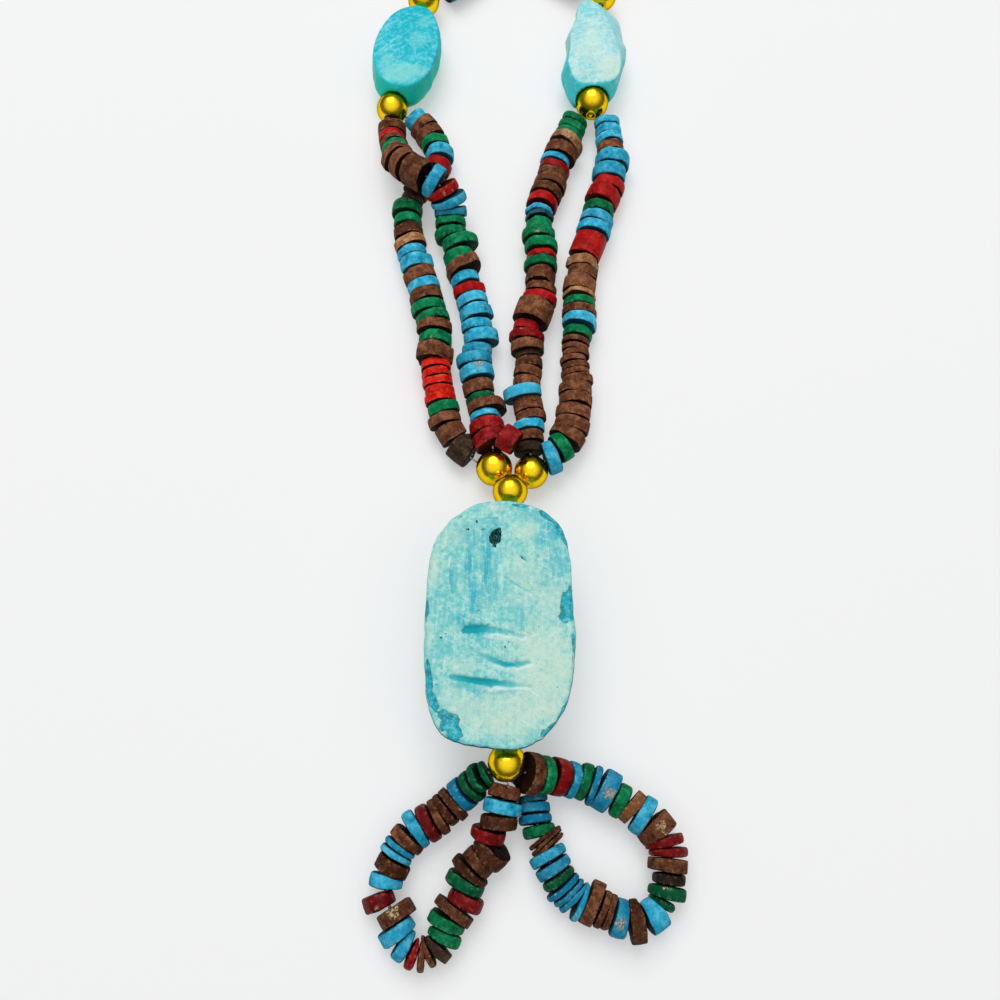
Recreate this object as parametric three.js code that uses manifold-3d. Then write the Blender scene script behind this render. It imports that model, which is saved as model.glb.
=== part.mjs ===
// Strung scarab necklace, laid flat on a table with the big scarab's flat base up.
// Three carved and glazed scarabs, gold-coloured ball beads, and strands of painted
// clay discs. Millimetres, +Z up, +Y towards the back of the neck.

import * as THREE from 'three';
import * as BufferGeometryUtils from 'three/addons/utils/BufferGeometryUtils.js';
import Module from 'manifold-3d';

const wasm = await Module();
wasm.setup();

// Driving dimensions

const CENTRAL_HEIGHT = 13.0;
const CENTRAL_PLATE = 2.3; // thickness of the flat base above the beetle's body
const CENTRAL_MIDDLE = [0.0, -22.1];
const SMALL_HEIGHT = 8.0;
const SMALL_GIRDLE_HEIGHT = 4.6; // where a small scarab is widest
const BORE_RADIUS = 0.9;
const THREAD_RADIUS = 0.4;
const GOLD_HOLE_RADIUS = 0.8;
const BEAD_ROOM = 0.55; // round a gold bead that sits in a scarab's end
const STROKE_DEPTH = 0.5;
const GOLD_SIDES = 10;
const GOLD_STEPS = 5; // facets of a gold bead from hole to hole

const STRAND_SIDES = 6;
const SIX_SIDED_REACH = 1.1; // corner radius of a hexagon with a disc's own area, over its radius
const GROOVE = 0.8; // groove radius between two discs, over the smaller disc's radius
const THICK_DRUM = 2.5; // a disc or stack thicker than this keeps a flat rim
const NECK_STACK = 6.0; // discs per plain stack at the back of the neck, in mm
const NECK_STACK_DIAMETERS = [5.6, 5.9, 5.4, 6.1, 5.7];
const NECK_STACK_COLOURS = ['b', 'n', 'g', 'r', 'b', 'n', 'n', 'r', 'g', 'n'];

const CLAY = {
  b: '#3fb4d6', // blue
  a: '#1d7f86', // dark teal
  g: '#0b7a46', // green
  r: '#a30c14', // red
  R: '#cf1c10', // bright red
  n: '#7d4b37', // brown
  k: '#2c1c14', // dark brown
  t: '#c09a62', // tan
};
const GROOVE_COLOUR = '#1c1512';

// Gold ball beads: middle, radius, and the direction of the hole

const GOLD_BEADS = {
  junction_left_bead: { at: [-1.0, 6.3, 3.5], radius: 3.15, hole: [0.35, -1, 0.3] },
  junction_right_bead: { at: [5.4, 5.6, 3.4], radius: 2.95, hole: [-0.45, -1, 0.3] },
  pendant_top_bead: { at: [1.7, 0.9, 7.0], radius: 2.95, hole: [0, 1, 0] },
  pendant_bottom_bead: { at: [1.1, -43.2, 7.0], radius: 3.0, hole: [0, 1, 0] },
  left_scarab_lower_bead: { at: [-21.2, 80.9, 4.0], radius: 3.0, hole: [0.21, 1, 0] },
  left_scarab_upper_bead: { at: [-15.6, 107.6, 4.2], radius: 3.2, hole: [0.21, 1, 0] },
  right_scarab_lower_bead: { at: [18.1, 82.4, 4.0], radius: 3.2, hole: [0.1, 1, 0] },
  right_scarab_upper_bead: { at: [20.8, 108.9, 4.2], radius: 3.1, hole: [0.1, 1, 0] },
};

// Strands: the thread's route, and the discs on it from first to last.
// A disc is colour, thickness x diameter, then s = sideways shift to the right of a
// downward run, t = degrees the right end sits low, p = degrees the top leans
// onwards, *n = a stack of n alike.

const STRANDS = {
  left_inner_strand: {
    route: [
      [-21.2, 77.5, 3.4], [-21.1, 75.5, 3.5], [-20.5, 71.6, 4.6], [-18.8, 67.1, 6.6],
      [-16.3, 63.8, 8.1], [-13.6, 62.0, 8.5], [-11.4, 60.7, 7.7], [-10.0, 59.0, 5.8],
      [-9.5, 56.8, 3.9], [-9.2, 53.1, 3.1], [-7.9, 48.2, 3.0], [-6.5, 44.2, 3.0],
      [-5.5, 39.8, 3.0], [-4.6, 35.3, 3.0], [-4.1, 30.2, 3.0], [-4.1, 26.8, 3.0],
      [-3.8, 22.3, 3.0], [-3.2, 19.0, 3.0], [-2.6, 15.8, 3.5], [-2.0, 13.0, 4.2],
      [-1.4, 10.6, 4.8],
    ],
    discs: 'n2.3x5.3 r1.8x5.3 n1.6x5.3 g2.3x5.6 n1.2x6.4 n1.6x5.6 n2.3x5.6 b2.2x6.2 '
      + 'r1.9x6.1 b2.0x6.8 b2.0x6.0 g1.7x5.6 g2.1x6.0 g2.1x6.7s1.3 g2.4x5.6 n2.0x7.0t-8 '
      + 'b2.0x5.4 r1.8x5.9 b2.0x5.9 b2.2x6.2s0.6 b1.8x5.8 b2.2x6.2s0.6 b1.6x5.4 '
      + 'b2.0x6.5s-0.7 b2.3x6.3 n1.9x5.6 g1.5x5.4 n1.7x6.8s0.4 b1.1x5.4 r1.7x6.0p8 '
      + 'r2.2x5.4t-8',
  },
  left_outer_strand: {
    route: [
      [-17.4, 79.8, 3.4], [-16.3, 78.6, 3.1], [-14.8, 76.9, 2.9], [-13.1, 74.3, 2.9],
      [-12.1, 71.5, 2.9], [-11.9, 68.8, 2.9], [-13.3, 65.8, 2.8], [-15.7, 62.9, 2.8],
      [-17.3, 59.7, 2.9], [-17.4, 55.3, 2.9], [-16.8, 51.0, 3.0], [-15.7, 46.7, 3.0],
      [-14.3, 42.1, 3.0], [-13.1, 37.9, 3.0], [-12.1, 34.2, 3.0], [-11.8, 30.2, 3.0],
      [-11.7, 26.2, 3.0], [-11.0, 22.3, 3.0], [-10.3, 18.4, 3.0], [-9.6, 15.5, 3.0],
      [-8.5, 12.7, 2.9], [-7.2, 10.7, 2.8], [-5.7, 9.1, 2.7],
    ],
    discs: 'b2.2x4.6 n2.1x5.4*2 g2.0x5.5 b2.6x5.6 r2.2x5.4 n2.0x5.2 b2.0x5.2 n2.0x5.0 '
      + 'k2.0x4.2 g2.6x5.6 g2.2x5.2 n2.3x5.4 t1.7x6.0t-8 b1.9x5.6 b2.5x6.1 n2.3x5.9 '
      + 'b2.1x6.1 n2.2x6.1 g2.0x6.3*2 n1.8x6.4 g2.2x6.2 n2.6x6.4 R1.7x5.4*5 g1.9x5.5 '
      + 'n1.5x5.8s-0.5 n2.6x4.9 k4.2x4.9',
  },
  right_inner_strand: {
    route: [
      [15.2, 79.7, 3.4], [14.6, 78.4, 3.0], [13.7, 76.0, 2.9], [12.3, 71.7, 3.0],
      [10.6, 67.2, 3.0], [9.2, 63.1, 3.0], [7.8, 59.1, 3.0], [7.4, 54.7, 3.0],
      [7.6, 48.8, 3.0], [7.5, 43.5, 3.0], [7.0, 38.7, 3.1], [5.5, 34.0, 3.1],
      [4.9, 30.2, 3.0], [5.2, 25.8, 3.0], [4.7, 22.3, 3.1], [5.0, 18.4, 3.0],
      [5.3, 14.6, 2.9], [5.3, 11.6, 3.2], [5.3, 9.3, 3.4],
    ],
    discs: 'g1.9x5.0 g1.9x5.7*2 t2.1x6.8 n2.4x6.4 b1.4x5.6s-0.6 r1.6x6.0 n1.6x6.0 '
      + 'n2.1x6.2 n2.0x6.2 r2.2x6.0 b1.3x5.2 a1.1x5.2 g2.1x5.0 g2.3x6.3*2 r1.5x5.6 '
      + 'g2.1x6.2 n2.9x5.9 n1.6x5.6 r2.0x6.2 n4.0x6.8 r1.8x4.8s-0.7 r1.8x6.4 n2.0x6.1 '
      + 'k1.0x4.6 n1.8x5.0*3 b2.2x6.8s-0.6 n2.3x5.4 n1.7x5.5 b2.1x5.5 n1.9x4.4 k1.8x3.8',
  },
  right_outer_strand: {
    route: [
      [20.8, 79.1, 3.3], [20.9, 77.8, 3.0], [21.2, 75.0, 2.9], [21.6, 71.1, 3.1],
      [21.3, 67.6, 3.2], [20.7, 63.8, 3.1], [19.3, 59.7, 3.0], [18.4, 56.0, 3.0],
      [17.1, 51.4, 3.0], [15.8, 47.4, 3.0], [15.0, 42.5, 3.0], [14.7, 38.3, 3.1],
      [14.6, 34.8, 3.0], [13.8, 30.2, 2.9], [13.5, 26.2, 2.9], [13.7, 22.3, 3.0],
      [13.4, 19.0, 3.1], [12.8, 15.5, 3.1], [11.9, 12.5, 3.2], [10.9, 10.2, 3.4],
      [9.4, 8.1, 3.6],
    ],
    discs: 'b1.9x5.2*3 n1.9x5.2 b2.8x6.4 b2.7x6.5 r2.0x6.0 r3.1x6.6 g2.2x6.1 b2.0x6.3*2 '
      + 'r4.6x6.1 t1.9x5.6 n1.9x5.7 n2.9x5.9 t1.0x6.1 g1.7x5.8 n1.6x6.2 b2.0x6.5 '
      + 'g2.0x5.4 n1.1x5.0*6 n1.6x5.4s0.4 n1.9x5.9 n1.9x6.3s0.3 n2.1x6.2*3 g2.3x5.6 '
      + 'b2.4x5.8s0.5',
  },
  left_loop: {
    route: [
      [-2.8, -45.2, 5.1], [-4.2, -46.2, 4.2], [-6.2, -48.0, 3.3], [-8.6, -50.3, 3.2],
      [-11.3, -51.9, 3.1], [-13.5, -53.4, 3.1], [-15.1, -55.3, 3.1], [-16.3, -57.4, 3.1],
      [-17.3, -59.9, 3.0], [-17.5, -62.0, 3.0], [-16.7, -64.2, 3.0], [-15.9, -66.6, 3.1],
      [-15.3, -69.0, 3.0], [-14.1, -71.2, 2.9], [-11.8, -72.2, 2.8], [-9.5, -71.3, 2.9],
      [-8.4, -69.2, 3.1], [-8.1, -66.8, 3.2], [-7.2, -64.8, 3.2], [-6.4, -63.3, 3.2],
      [-5.5, -61.2, 3.2], [-4.4, -59.1, 3.3], [-2.6, -57.2, 3.6], [-1.1, -55.4, 4.2],
      [-0.4, -53.4, 4.7], [0.0, -51.4, 5.0], [0.3, -49.4, 5.1], [1.0, -47.7, 5.0],
    ],
    discs: 'g1.8x4.6 g1.8x5.2 b2.2x5.8 n1.3x5.8*3 r1.9x6.1 b1.8x6.3 n1.8x5.8 b1.0x5.5*2 '
      + 'n2.1x5.5 b2.1x5.1 r2.3x5.2s-0.6 n2.2x6.2 b2.1x6.0 b1.9x5.2 k0.9x4.6 n1.0x4.6 '
      + 'r1.3x4.6 n1.8x4.6 g1.8x5.4 g1.8x6.2 n1.5x6.3 r2.1x6.1s0.5 g1.9x6.3 n1.4x6.3 '
      + 'n1.8x5.2 n1.9x5.8 t1.2x5.4 r1.9x5.8s-0.8 n2.0x6.0 b2.0x6.2 n1.8x4.2',
  },
  right_loop: {
    route: [
      [4.4, -44.5, 6.2], [5.2, -44.6, 6.0], [7.6, -44.9, 4.9], [10.2, -45.3, 3.8],
      [12.6, -45.9, 3.3], [14.9, -46.7, 3.2], [17.4, -47.9, 3.2], [19.7, -49.1, 3.2],
      [21.5, -50.6, 3.2], [23.4, -52.0, 3.2], [24.9, -53.7, 3.2], [25.7, -55.7, 3.2],
      [25.8, -58.0, 3.2], [25.6, -60.1, 3.2], [25.2, -62.2, 3.1], [24.2, -64.3, 3.0],
      [22.3, -65.7, 3.2], [19.9, -66.2, 3.3], [17.7, -65.7, 3.2], [15.6, -64.7, 3.3],
      [13.4, -63.9, 3.1], [11.4, -63.0, 3.1], [9.9, -61.3, 3.1], [8.6, -59.4, 3.0],
      [7.5, -57.4, 3.0], [6.6, -55.2, 2.9], [5.9, -52.8, 2.8], [5.6, -50.4, 2.7],
      [5.4, -48.4, 2.6],
    ],
    discs: 'n2.8x5.8 g1.9x6.0 r2.6x5.8 b1.8x5.7 g1.9x6.0 b1.1x6.3 b2.6x6.4 g2.1x5.6 '
      + 't1.6x5.6 b2.0x6.1 n2.9x6.0 r1.3x6.2*2 n1.9x6.3 k1.6x5.1 g1.9x5.9 g1.2x4.4 '
      + 'b3.2x5.2 n2.0x6.6 a2.1x5.7 n0.8x6.0*2 n2.0x6.6 b1.4x5.8 b1.2x5.8*3 g1.9x5.5 '
      + 'b1.4x5.8*3 n0.7x5.8*3 g2.3x5.3 b1.9x5.2 b2.0x5.0 a1.4x4.6',
  },
};

// The back of the neck: the left half's route, and the right half's is its mirror
// image about the necklace's middle line

const NECK_MIDDLE_X = 3.0;
const NECK_HALF_ROUTE = [
  [-11.6, 109.8, 3.4], [-8.5, 110.6, 3.1], [-5.4, 112.8, 3.0], [-3.8, 117.0, 3.0],
  [-5.2, 122.4, 3.0], [-12.5, 129.4, 3.0], [-28.0, 137.8, 3.0], [-45.0, 149.5, 3.0],
  [-56.5, 165.5, 3.0], [-59.0, 186.0, 3.0], [-52.5, 206.0, 3.0], [-38.0, 222.0, 3.0],
  [-19.0, 231.8, 3.0], [-6.0, 234.3, 3.0], [2.75, 234.6, 3.0],
];

// Outlines, clockwise from the top, as closed smooth curves

const CENTRAL_OUTLINE = [
  [-1.3, -2.5], [4.6, -3.1], [9.2, -5.9], [11.1, -11.0], [11.5, -19.5], [11.7, -27.0],
  [10.6, -33.7], [7.8, -38.4], [3.6, -41.2], [-2.7, -41.4], [-8.4, -39.6], [-10.9, -35.0],
  [-11.7, -27.5], [-11.7, -19.0], [-10.9, -10.6], [-7.3, -5.0],
];
const LEFT_SMALL_GIRDLE = [
  [-15.9, 103.6], [-12.9, 101.4], [-11.7, 95.2], [-12.8, 88.8], [-15.0, 84.2],
  [-18.0, 81.8], [-22.4, 82.1], [-24.9, 86.4], [-25.2, 93.0], [-23.4, 98.8], [-20.2, 102.8],
];
const LEFT_SMALL_FACE = [
  [-16.1, 102.8], [-13.4, 100.9], [-12.0, 95.2], [-12.9, 89.2], [-14.6, 85.6],
  [-17.4, 83.7], [-21.8, 84.3], [-24.4, 88.0], [-24.8, 93.0], [-23.0, 98.4], [-20.1, 101.9],
];
const RIGHT_SMALL_GIRDLE = [
  [17.6, 105.4], [21.2, 104.9], [23.9, 101.6], [24.8, 97.0], [25.4, 93.8], [24.1, 88.8],
  [22.4, 83.4], [18.2, 80.9], [14.2, 81.7], [12.2, 87.4], [13.2, 92.4], [13.4, 97.0],
  [15.2, 101.2], [15.5, 104.0],
];
const RIGHT_SMALL_FACE = [
  [17.2, 104.2], [19.7, 103.2], [21.4, 99.4], [22.6, 95.4], [23.6, 91.2], [23.5, 87.2],
  [21.9, 84.8], [18.0, 84.1], [14.9, 84.6], [13.4, 88.6], [13.7, 92.6], [14.1, 96.6],
  [15.3, 100.4], [15.7, 102.8],
];

// Strokes cut in the central scarab's base: route and half width at its thickest

const BASE_STROKES = [
  { route: [[-5.3, -23.5], [-2.6, -23.5], [0.6, -23.8], [3.2, -24.4]], half: 0.75 },
  { route: [[-4.2, -26.9], [-1.4, -28.2], [1.4, -29.0], [4.3, -28.7]], half: 0.42 },
  { route: [[-7.2, -30.9], [-3.4, -31.5], [0.6, -31.8], [4.2, -32.1]], half: 0.65 },
];
const BASE_PIT = { at: [-0.8, -8.7], radius: [0.9, 1.35], depth: 0.9 };

// Lines cut in the beetle's back, under the base: between the wing cases, behind the
// thorax and behind the head

const WING_LINE = { halfLength: 19.5, halfWidth: 0.35, depth: 0.6 };
const THORAX_LINE = { halfLength: 11.6, halfWidth: 0.4, depth: 0.7, y: -15.5 };
const HEAD_LINE = { halfLength: 10.2, halfWidth: 0.4, depth: 0.9, y: -9.0 };

const MATERIALS = {
  central: { color: '#93d3d2', roughness: 0.6, metalness: 0.0 },
  small: { color: '#6cc3cb', roughness: 0.5, metalness: 0.0 },
  gold: { color: '#e0b020', roughness: 0.18, metalness: 1.0 },
  clay: { color: '#ffffff', roughness: 0.75, metalness: 0.0, vertexColors: true },
  drum: { color: CLAY.r, roughness: 0.75, metalness: 0.0 },
  thread: { color: '#d8d4ca', roughness: 0.7, metalness: 0.0 },
};

const group = new THREE.Group();
group.name = 'scarab_necklace';

function add(name, geometry, look) {
  const mesh = new THREE.Mesh(geometry, new THREE.MeshStandardMaterial(MATERIALS[look]));
  mesh.name = name;
  group.add(mesh);
}

// Meshes and solids

function meshFrom(points, triangles) {
  const geometry = new THREE.BufferGeometry();
  const flat = points.flatMap((p) => [p.x, p.y, p.z]);
  geometry.setAttribute('position', new THREE.Float32BufferAttribute(flat, 3));
  geometry.setIndex(triangles);
  geometry.computeVertexNormals();
  return geometry;
}

// A closed skin over a row of rings that have the same number of points
function skin(rings) {
  const count = rings[0].length;
  const triangles = [];
  for (let row = 0; row + 1 < rings.length; row += 1) {
    for (let i = 0; i < count; i += 1) {
      const next = (i + 1) % count;
      const a = row * count + i;
      const b = row * count + next;
      triangles.push(a, b, b + count, a, b + count, a + count);
    }
  }
  const last = (rings.length - 1) * count;
  for (let i = 1; i + 1 < count; i += 1) {
    triangles.push(0, i + 1, i);
    triangles.push(last, last + i, last + i + 1);
  }
  return meshFrom(rings.flat(), triangles);
}

function solid(geometry) {
  const bare = geometry.clone();
  bare.deleteAttribute('normal');
  bare.deleteAttribute('uv');
  const merged = BufferGeometryUtils.mergeVertices(bare, 1e-4);
  return new wasm.Manifold(new wasm.Mesh({
    numProp: 3,
    vertProperties: new Float32Array(merged.attributes.position.array),
    triVerts: new Uint32Array(merged.index.array),
  }));
}

function geometryOf(manifold) {
  const mesh = manifold.getMesh();
  const geometry = new THREE.BufferGeometry();
  geometry.setAttribute('position', new THREE.BufferAttribute(mesh.vertProperties, 3));
  geometry.setIndex(new THREE.BufferAttribute(mesh.triVerts, 1));
  geometry.computeVertexNormals();
  return geometry;
}

// A straight rod between two points, carried past both ends by a margin
function rod(from, to, radius, margin, sides) {
  const start = new THREE.Vector3(...from);
  const end = new THREE.Vector3(...to);
  const along = end.clone().sub(start).normalize();
  const length = start.distanceTo(end) + 2 * margin;
  const geometry = new THREE.CylinderGeometry(radius, radius, length, sides);
  const turn = new THREE.Quaternion().setFromUnitVectors(new THREE.Vector3(0, 1, 0), along);
  const middle = start.clone().add(end).multiplyScalar(0.5);
  geometry.applyQuaternion(turn);
  geometry.translate(middle.x, middle.y, middle.z);
  return geometry;
}

function outlinePoints(outline, count) {
  const points = outline.map(([x, y]) => new THREE.Vector3(x, y, 0));
  const curve = new THREE.CatmullRomCurve3(points, true, 'catmullrom', 0.5);
  const ring = [];
  for (let i = 0; i < count; i += 1) {
    ring.push(curve.getPoint(1 - i / count));
  }
  return ring;
}

function ringAt(outline, middle, reach, height) {
  return outline.map((p) => new THREE.Vector3(
    middle[0] + (p.x - middle[0]) * reach,
    middle[1] + (p.y - middle[1]) * reach,
    height,
  ));
}

// Discs on a strand

function readDiscs(text) {
  return text.split(' ').map((word) => {
    const [, colour, thick, across, rest] = word.match(/^(\w)([\d.]+)x([\d.]+)(.*)$/);
    const extra = (letter) => Number((rest.match(new RegExp(`${letter}(-?[\\d.]+)`)) ?? [0, 0])[1]);
    const count = Number((rest.match(/\*(\d+)/) ?? [0, 1])[1]);
    return {
      colour,
      thick: Number(thick) * count,
      radius: Number(across) / 2,
      shift: extra('s'),
      turn: THREE.MathUtils.degToRad(extra('t')),
      lean: THREE.MathUtils.degToRad(extra('p')),
    };
  });
}

function discRing(curve, share, radius, shift, turn, lean) {
  const centre = curve.getPointAt(share);
  const along = curve.getTangentAt(share);
  const side = new THREE.Vector3(0, 0, 1).cross(along).normalize();
  const up = new THREE.Vector3().crossVectors(along, side);
  centre.addScaledVector(side, shift);
  centre.z = Math.max(centre.z, radius);
  const across = side.clone().multiplyScalar(Math.cos(turn)).addScaledVector(along, Math.sin(turn));
  const rise = up.clone().multiplyScalar(Math.cos(lean)).addScaledVector(along, Math.sin(lean));
  const ring = [];
  for (let i = 0; i < STRAND_SIDES; i += 1) {
    const angle = (2 * Math.PI * i) / STRAND_SIDES;
    const reach = radius * SIX_SIDED_REACH;
    ring.push(centre.clone()
      .addScaledVector(across, reach * Math.cos(angle))
      .addScaledVector(rise, reach * Math.sin(angle)));
  }
  return ring;
}

function strandGeometry(route, discs) {
  const points = route.map(([x, y, z]) => new THREE.Vector3(x, y, z));
  const curve = new THREE.CatmullRomCurve3(points, false, 'catmullrom', 0.5);
  const listed = discs.reduce((sum, disc) => sum + disc.thick, 0);
  const rings = [];
  const colours = [];
  const place = (share, radius, colour, shift, turn, lean) => {
    rings.push(discRing(curve, share, radius, shift, turn, lean));
    colours.push(new THREE.Color(colour));
  };
  let along = 0;
  place(0, discs[0].radius * GROOVE, CLAY[discs[0].colour], 0, 0, 0);
  discs.forEach((disc, i) => {
    const next = discs[i + 1];
    const middle = along + disc.thick / 2;
    const flat = disc.thick > THICK_DRUM ? disc.thick / 2 - THICK_DRUM / 5 : 0;
    for (const offset of flat > 0 ? [-flat, flat] : [0]) {
      const share = (middle + offset) / listed;
      place(share, disc.radius, CLAY[disc.colour], disc.shift, disc.turn, disc.lean);
    }
    along += disc.thick;
    const neck = GROOVE * Math.min(disc.radius, next ? next.radius : disc.radius);
    place(along / listed, neck, next ? GROOVE_COLOUR : CLAY[disc.colour], 0, 0, 0);
  });
  const geometry = skin(rings);
  const shades = colours.flatMap((c) => Array(STRAND_SIDES).fill([c.r, c.g, c.b]).flat());
  geometry.setAttribute('color', new THREE.Float32BufferAttribute(shades, 3));
  return geometry;
}

for (const [name, strand] of Object.entries(STRANDS)) {
  add(name, strandGeometry(strand.route, readDiscs(strand.discs)), 'clay');
}

// The plain stacks round the back of the neck, in two halves that meet at the nape

function neckStacks(route) {
  const points = route.map(([x, y, z]) => new THREE.Vector3(x, y, z));
  const length = new THREE.CatmullRomCurve3(points, false, 'catmullrom', 0.5).getLength();
  const stacks = [];
  for (let i = 0; i < Math.round(length / NECK_STACK); i += 1) {
    const colour = NECK_STACK_COLOURS[i % NECK_STACK_COLOURS.length];
    const across = NECK_STACK_DIAMETERS[i % NECK_STACK_DIAMETERS.length];
    stacks.push(`${colour}${NECK_STACK}x${across}`);
  }
  return stacks.join(' ');
}

const rightHalf = NECK_HALF_ROUTE.map(([x, y, z]) => [2 * NECK_MIDDLE_X - x, y, z]);
add('left_neck_strand', strandGeometry(NECK_HALF_ROUTE, readDiscs(neckStacks(NECK_HALF_ROUTE))), 'clay');
add('right_neck_strand', strandGeometry(rightHalf, readDiscs(neckStacks(rightHalf))), 'clay');

// The short red drum that sticks out beside the left junction bead

const SIDE_DRUM = { from: [1.1, 12.1, 7.7], to: [3.8, 9.8, 7.5], radius: 1.75, sides: 8 };
add('junction_side_disc', rod(SIDE_DRUM.from, SIDE_DRUM.to, SIDE_DRUM.radius, 0, SIDE_DRUM.sides), 'drum');

// Gold ball beads, each turned about its hole

function goldBead(bead) {
  const edge = Math.asin(GOLD_HOLE_RADIUS / bead.radius);
  const profile = [];
  for (let i = 0; i <= GOLD_STEPS; i += 1) {
    const angle = -Math.PI / 2 + edge + (i * (Math.PI - 2 * edge)) / GOLD_STEPS;
    profile.push(new THREE.Vector2(bead.radius * Math.cos(angle), bead.radius * Math.sin(angle)));
  }
  profile.push(profile[0].clone());
  const geometry = new THREE.LatheGeometry(profile, GOLD_SIDES);
  const hole = new THREE.Vector3(...bead.hole).normalize();
  geometry.applyQuaternion(new THREE.Quaternion().setFromUnitVectors(new THREE.Vector3(0, 1, 0), hole));
  geometry.translate(...bead.at);
  return geometry;
}

for (const [name, bead] of Object.entries(GOLD_BEADS)) {
  add(name, goldBead(bead), 'gold');
}

// Room for a gold bead against a scarab's end
function beadRoom(bead) {
  const geometry = new THREE.SphereGeometry(bead.radius + BEAD_ROOM, 10, 7);
  geometry.translate(...bead.at);
  return solid(geometry);
}

function threadBetween(name, first, last, margin) {
  add(name, rod(first.at, last.at, THREAD_RADIUS, margin, 6), 'thread');
}

// The central scarab: a flat base with shallow strokes, over the beetle's rounded body

const BODY_DEPTH = CENTRAL_HEIGHT - CENTRAL_PLATE;
const BODY_REACH = 0.93;
const BODY_LEVELS = [0.0, 0.3, 0.55, 0.74, 0.88, 0.988]; // down the body, as shares of its depth
const LEGS_ON_A_SIDE = 3;
const LEG_RELIEF = 0.05;

function bodyReach(share) {
  return BODY_REACH * Math.sqrt(1 - share ** 2.4);
}

function legRing(outline, share, relief) {
  const height = BODY_DEPTH * (1 - share);
  return outline.map((p, i) => {
    const wave = Math.cos((2 * Math.PI * i * 2 * (LEGS_ON_A_SIDE + 1)) / outline.length);
    const reach = bodyReach(share) - relief * (0.5 - 0.5 * wave);
    const dx = (p.x - CENTRAL_MIDDLE[0]) * reach;
    const dy = (p.y - CENTRAL_MIDDLE[1]) * reach;
    return new THREE.Vector3(CENTRAL_MIDDLE[0] + dx, CENTRAL_MIDDLE[1] + dy, height);
  });
}

function centralBlank() {
  const outline = outlinePoints(CENTRAL_OUTLINE, 32);
  const plate = (reach, height) => ringAt(outline, CENTRAL_MIDDLE, reach, height);
  const rings = [];
  for (const share of [...BODY_LEVELS].reverse()) {
    rings.push(legRing(outline, share, share > 0 && share < 0.6 ? LEG_RELIEF : 0));
  }
  rings.push(plate(0.965, BODY_DEPTH + 0.1));
  rings.push(plate(1.0, BODY_DEPTH + 0.5));
  rings.push(plate(1.0, CENTRAL_HEIGHT - 0.35));
  rings.push(plate(0.975, CENTRAL_HEIGHT));
  return solid(skin(rings));
}

// A V-shaped groove along a route on the base, thickest at a third of its length
function strokeCutter(stroke) {
  const points = stroke.route.map(([x, y]) => new THREE.Vector3(x, y, CENTRAL_HEIGHT));
  const curve = new THREE.CatmullRomCurve3(points, false, 'catmullrom', 0.5);
  const shares = [0, 0.12, 0.35, 0.7, 1];
  const widths = [0.15, 0.85, 1.0, 0.7, 0.12];
  const rings = shares.map((share, i) => {
    const centre = curve.getPoint(share);
    const along = curve.getTangent(share);
    const side = new THREE.Vector3(0, 0, 1).cross(along).normalize();
    const half = stroke.half * widths[i];
    const rise = STROKE_DEPTH;
    return [
      centre.clone().addScaledVector(side, half * 2).add(new THREE.Vector3(0, 0, rise)),
      centre.clone().addScaledVector(side, -half * 2).add(new THREE.Vector3(0, 0, rise)),
      centre.clone().add(new THREE.Vector3(0, 0, -STROKE_DEPTH * widths[i])),
    ];
  });
  return solid(skin(rings));
}

function pitCutter() {
  const geometry = new THREE.SphereGeometry(1, 8, 5);
  geometry.scale(BASE_PIT.radius[0], BASE_PIT.radius[1], BASE_PIT.depth);
  geometry.translate(BASE_PIT.at[0], BASE_PIT.at[1], CENTRAL_HEIGHT);
  return solid(geometry);
}

// A slab that cuts a line of even depth into the beetle's back. Seen along the slab,
// the back is an ellipse-like arch of the given half length.
function backLineCutter({ halfLength, halfWidth, depth }) {
  const steps = 8;
  const inner = [];
  for (let i = 0; i <= steps; i += 1) {
    const share = Math.cos((Math.PI * i) / steps);
    const fall = (BODY_DEPTH - depth) * (1 - Math.abs(share) ** 2.2) ** (1 / 2.4);
    inner.push(new THREE.Vector2(share * (halfLength * BODY_REACH - depth), BODY_DEPTH - fall));
  }
  const reach = halfLength + 2;
  const shape = new THREE.Shape([
    new THREE.Vector2(-reach, -2),
    new THREE.Vector2(-reach, BODY_DEPTH - 2.5),
    ...inner.slice(1, -1).reverse(),
    new THREE.Vector2(reach, BODY_DEPTH - 2.5),
    new THREE.Vector2(reach, -2),
  ].reverse());
  const geometry = new THREE.ExtrudeGeometry(shape, { depth: 2 * halfWidth, bevelEnabled: false });
  geometry.translate(0, 0, -halfWidth);
  geometry.rotateX(Math.PI / 2);
  return geometry;
}

function carvedBack(blank) {
  const lengthwise = backLineCutter(WING_LINE);
  lengthwise.rotateZ(Math.PI / 2);
  lengthwise.translate(CENTRAL_MIDDLE[0], CENTRAL_MIDDLE[1], 0);
  const wingsRegion = new THREE.BoxGeometry(40, 30, 40);
  wingsRegion.translate(0, THORAX_LINE.y - 30 / 2, 0);
  const wingLine = solid(lengthwise).intersect(solid(wingsRegion));
  const behindThorax = solid(backLineCutter(THORAX_LINE).translate(0, THORAX_LINE.y, 0));
  const behindHead = solid(backLineCutter(HEAD_LINE).translate(0, HEAD_LINE.y, 0));
  return blank.subtract(wingLine).subtract(behindThorax).subtract(behindHead);
}

let central = carvedBack(centralBlank());
for (const stroke of BASE_STROKES) {
  central = central.subtract(strokeCutter(stroke));
}
central = central.subtract(pitCutter());
const { pendant_top_bead: pendantTop, pendant_bottom_bead: pendantBottom } = GOLD_BEADS;
central = central.subtract(solid(rod(pendantTop.at, pendantBottom.at, BORE_RADIUS, 2, 8)));
central = central.subtract(beadRoom(pendantTop)).subtract(beadRoom(pendantBottom));
add('central_scarab', geometryOf(central), 'central');
threadBetween('pendant_thread', pendantTop, pendantBottom, 4.0);

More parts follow.
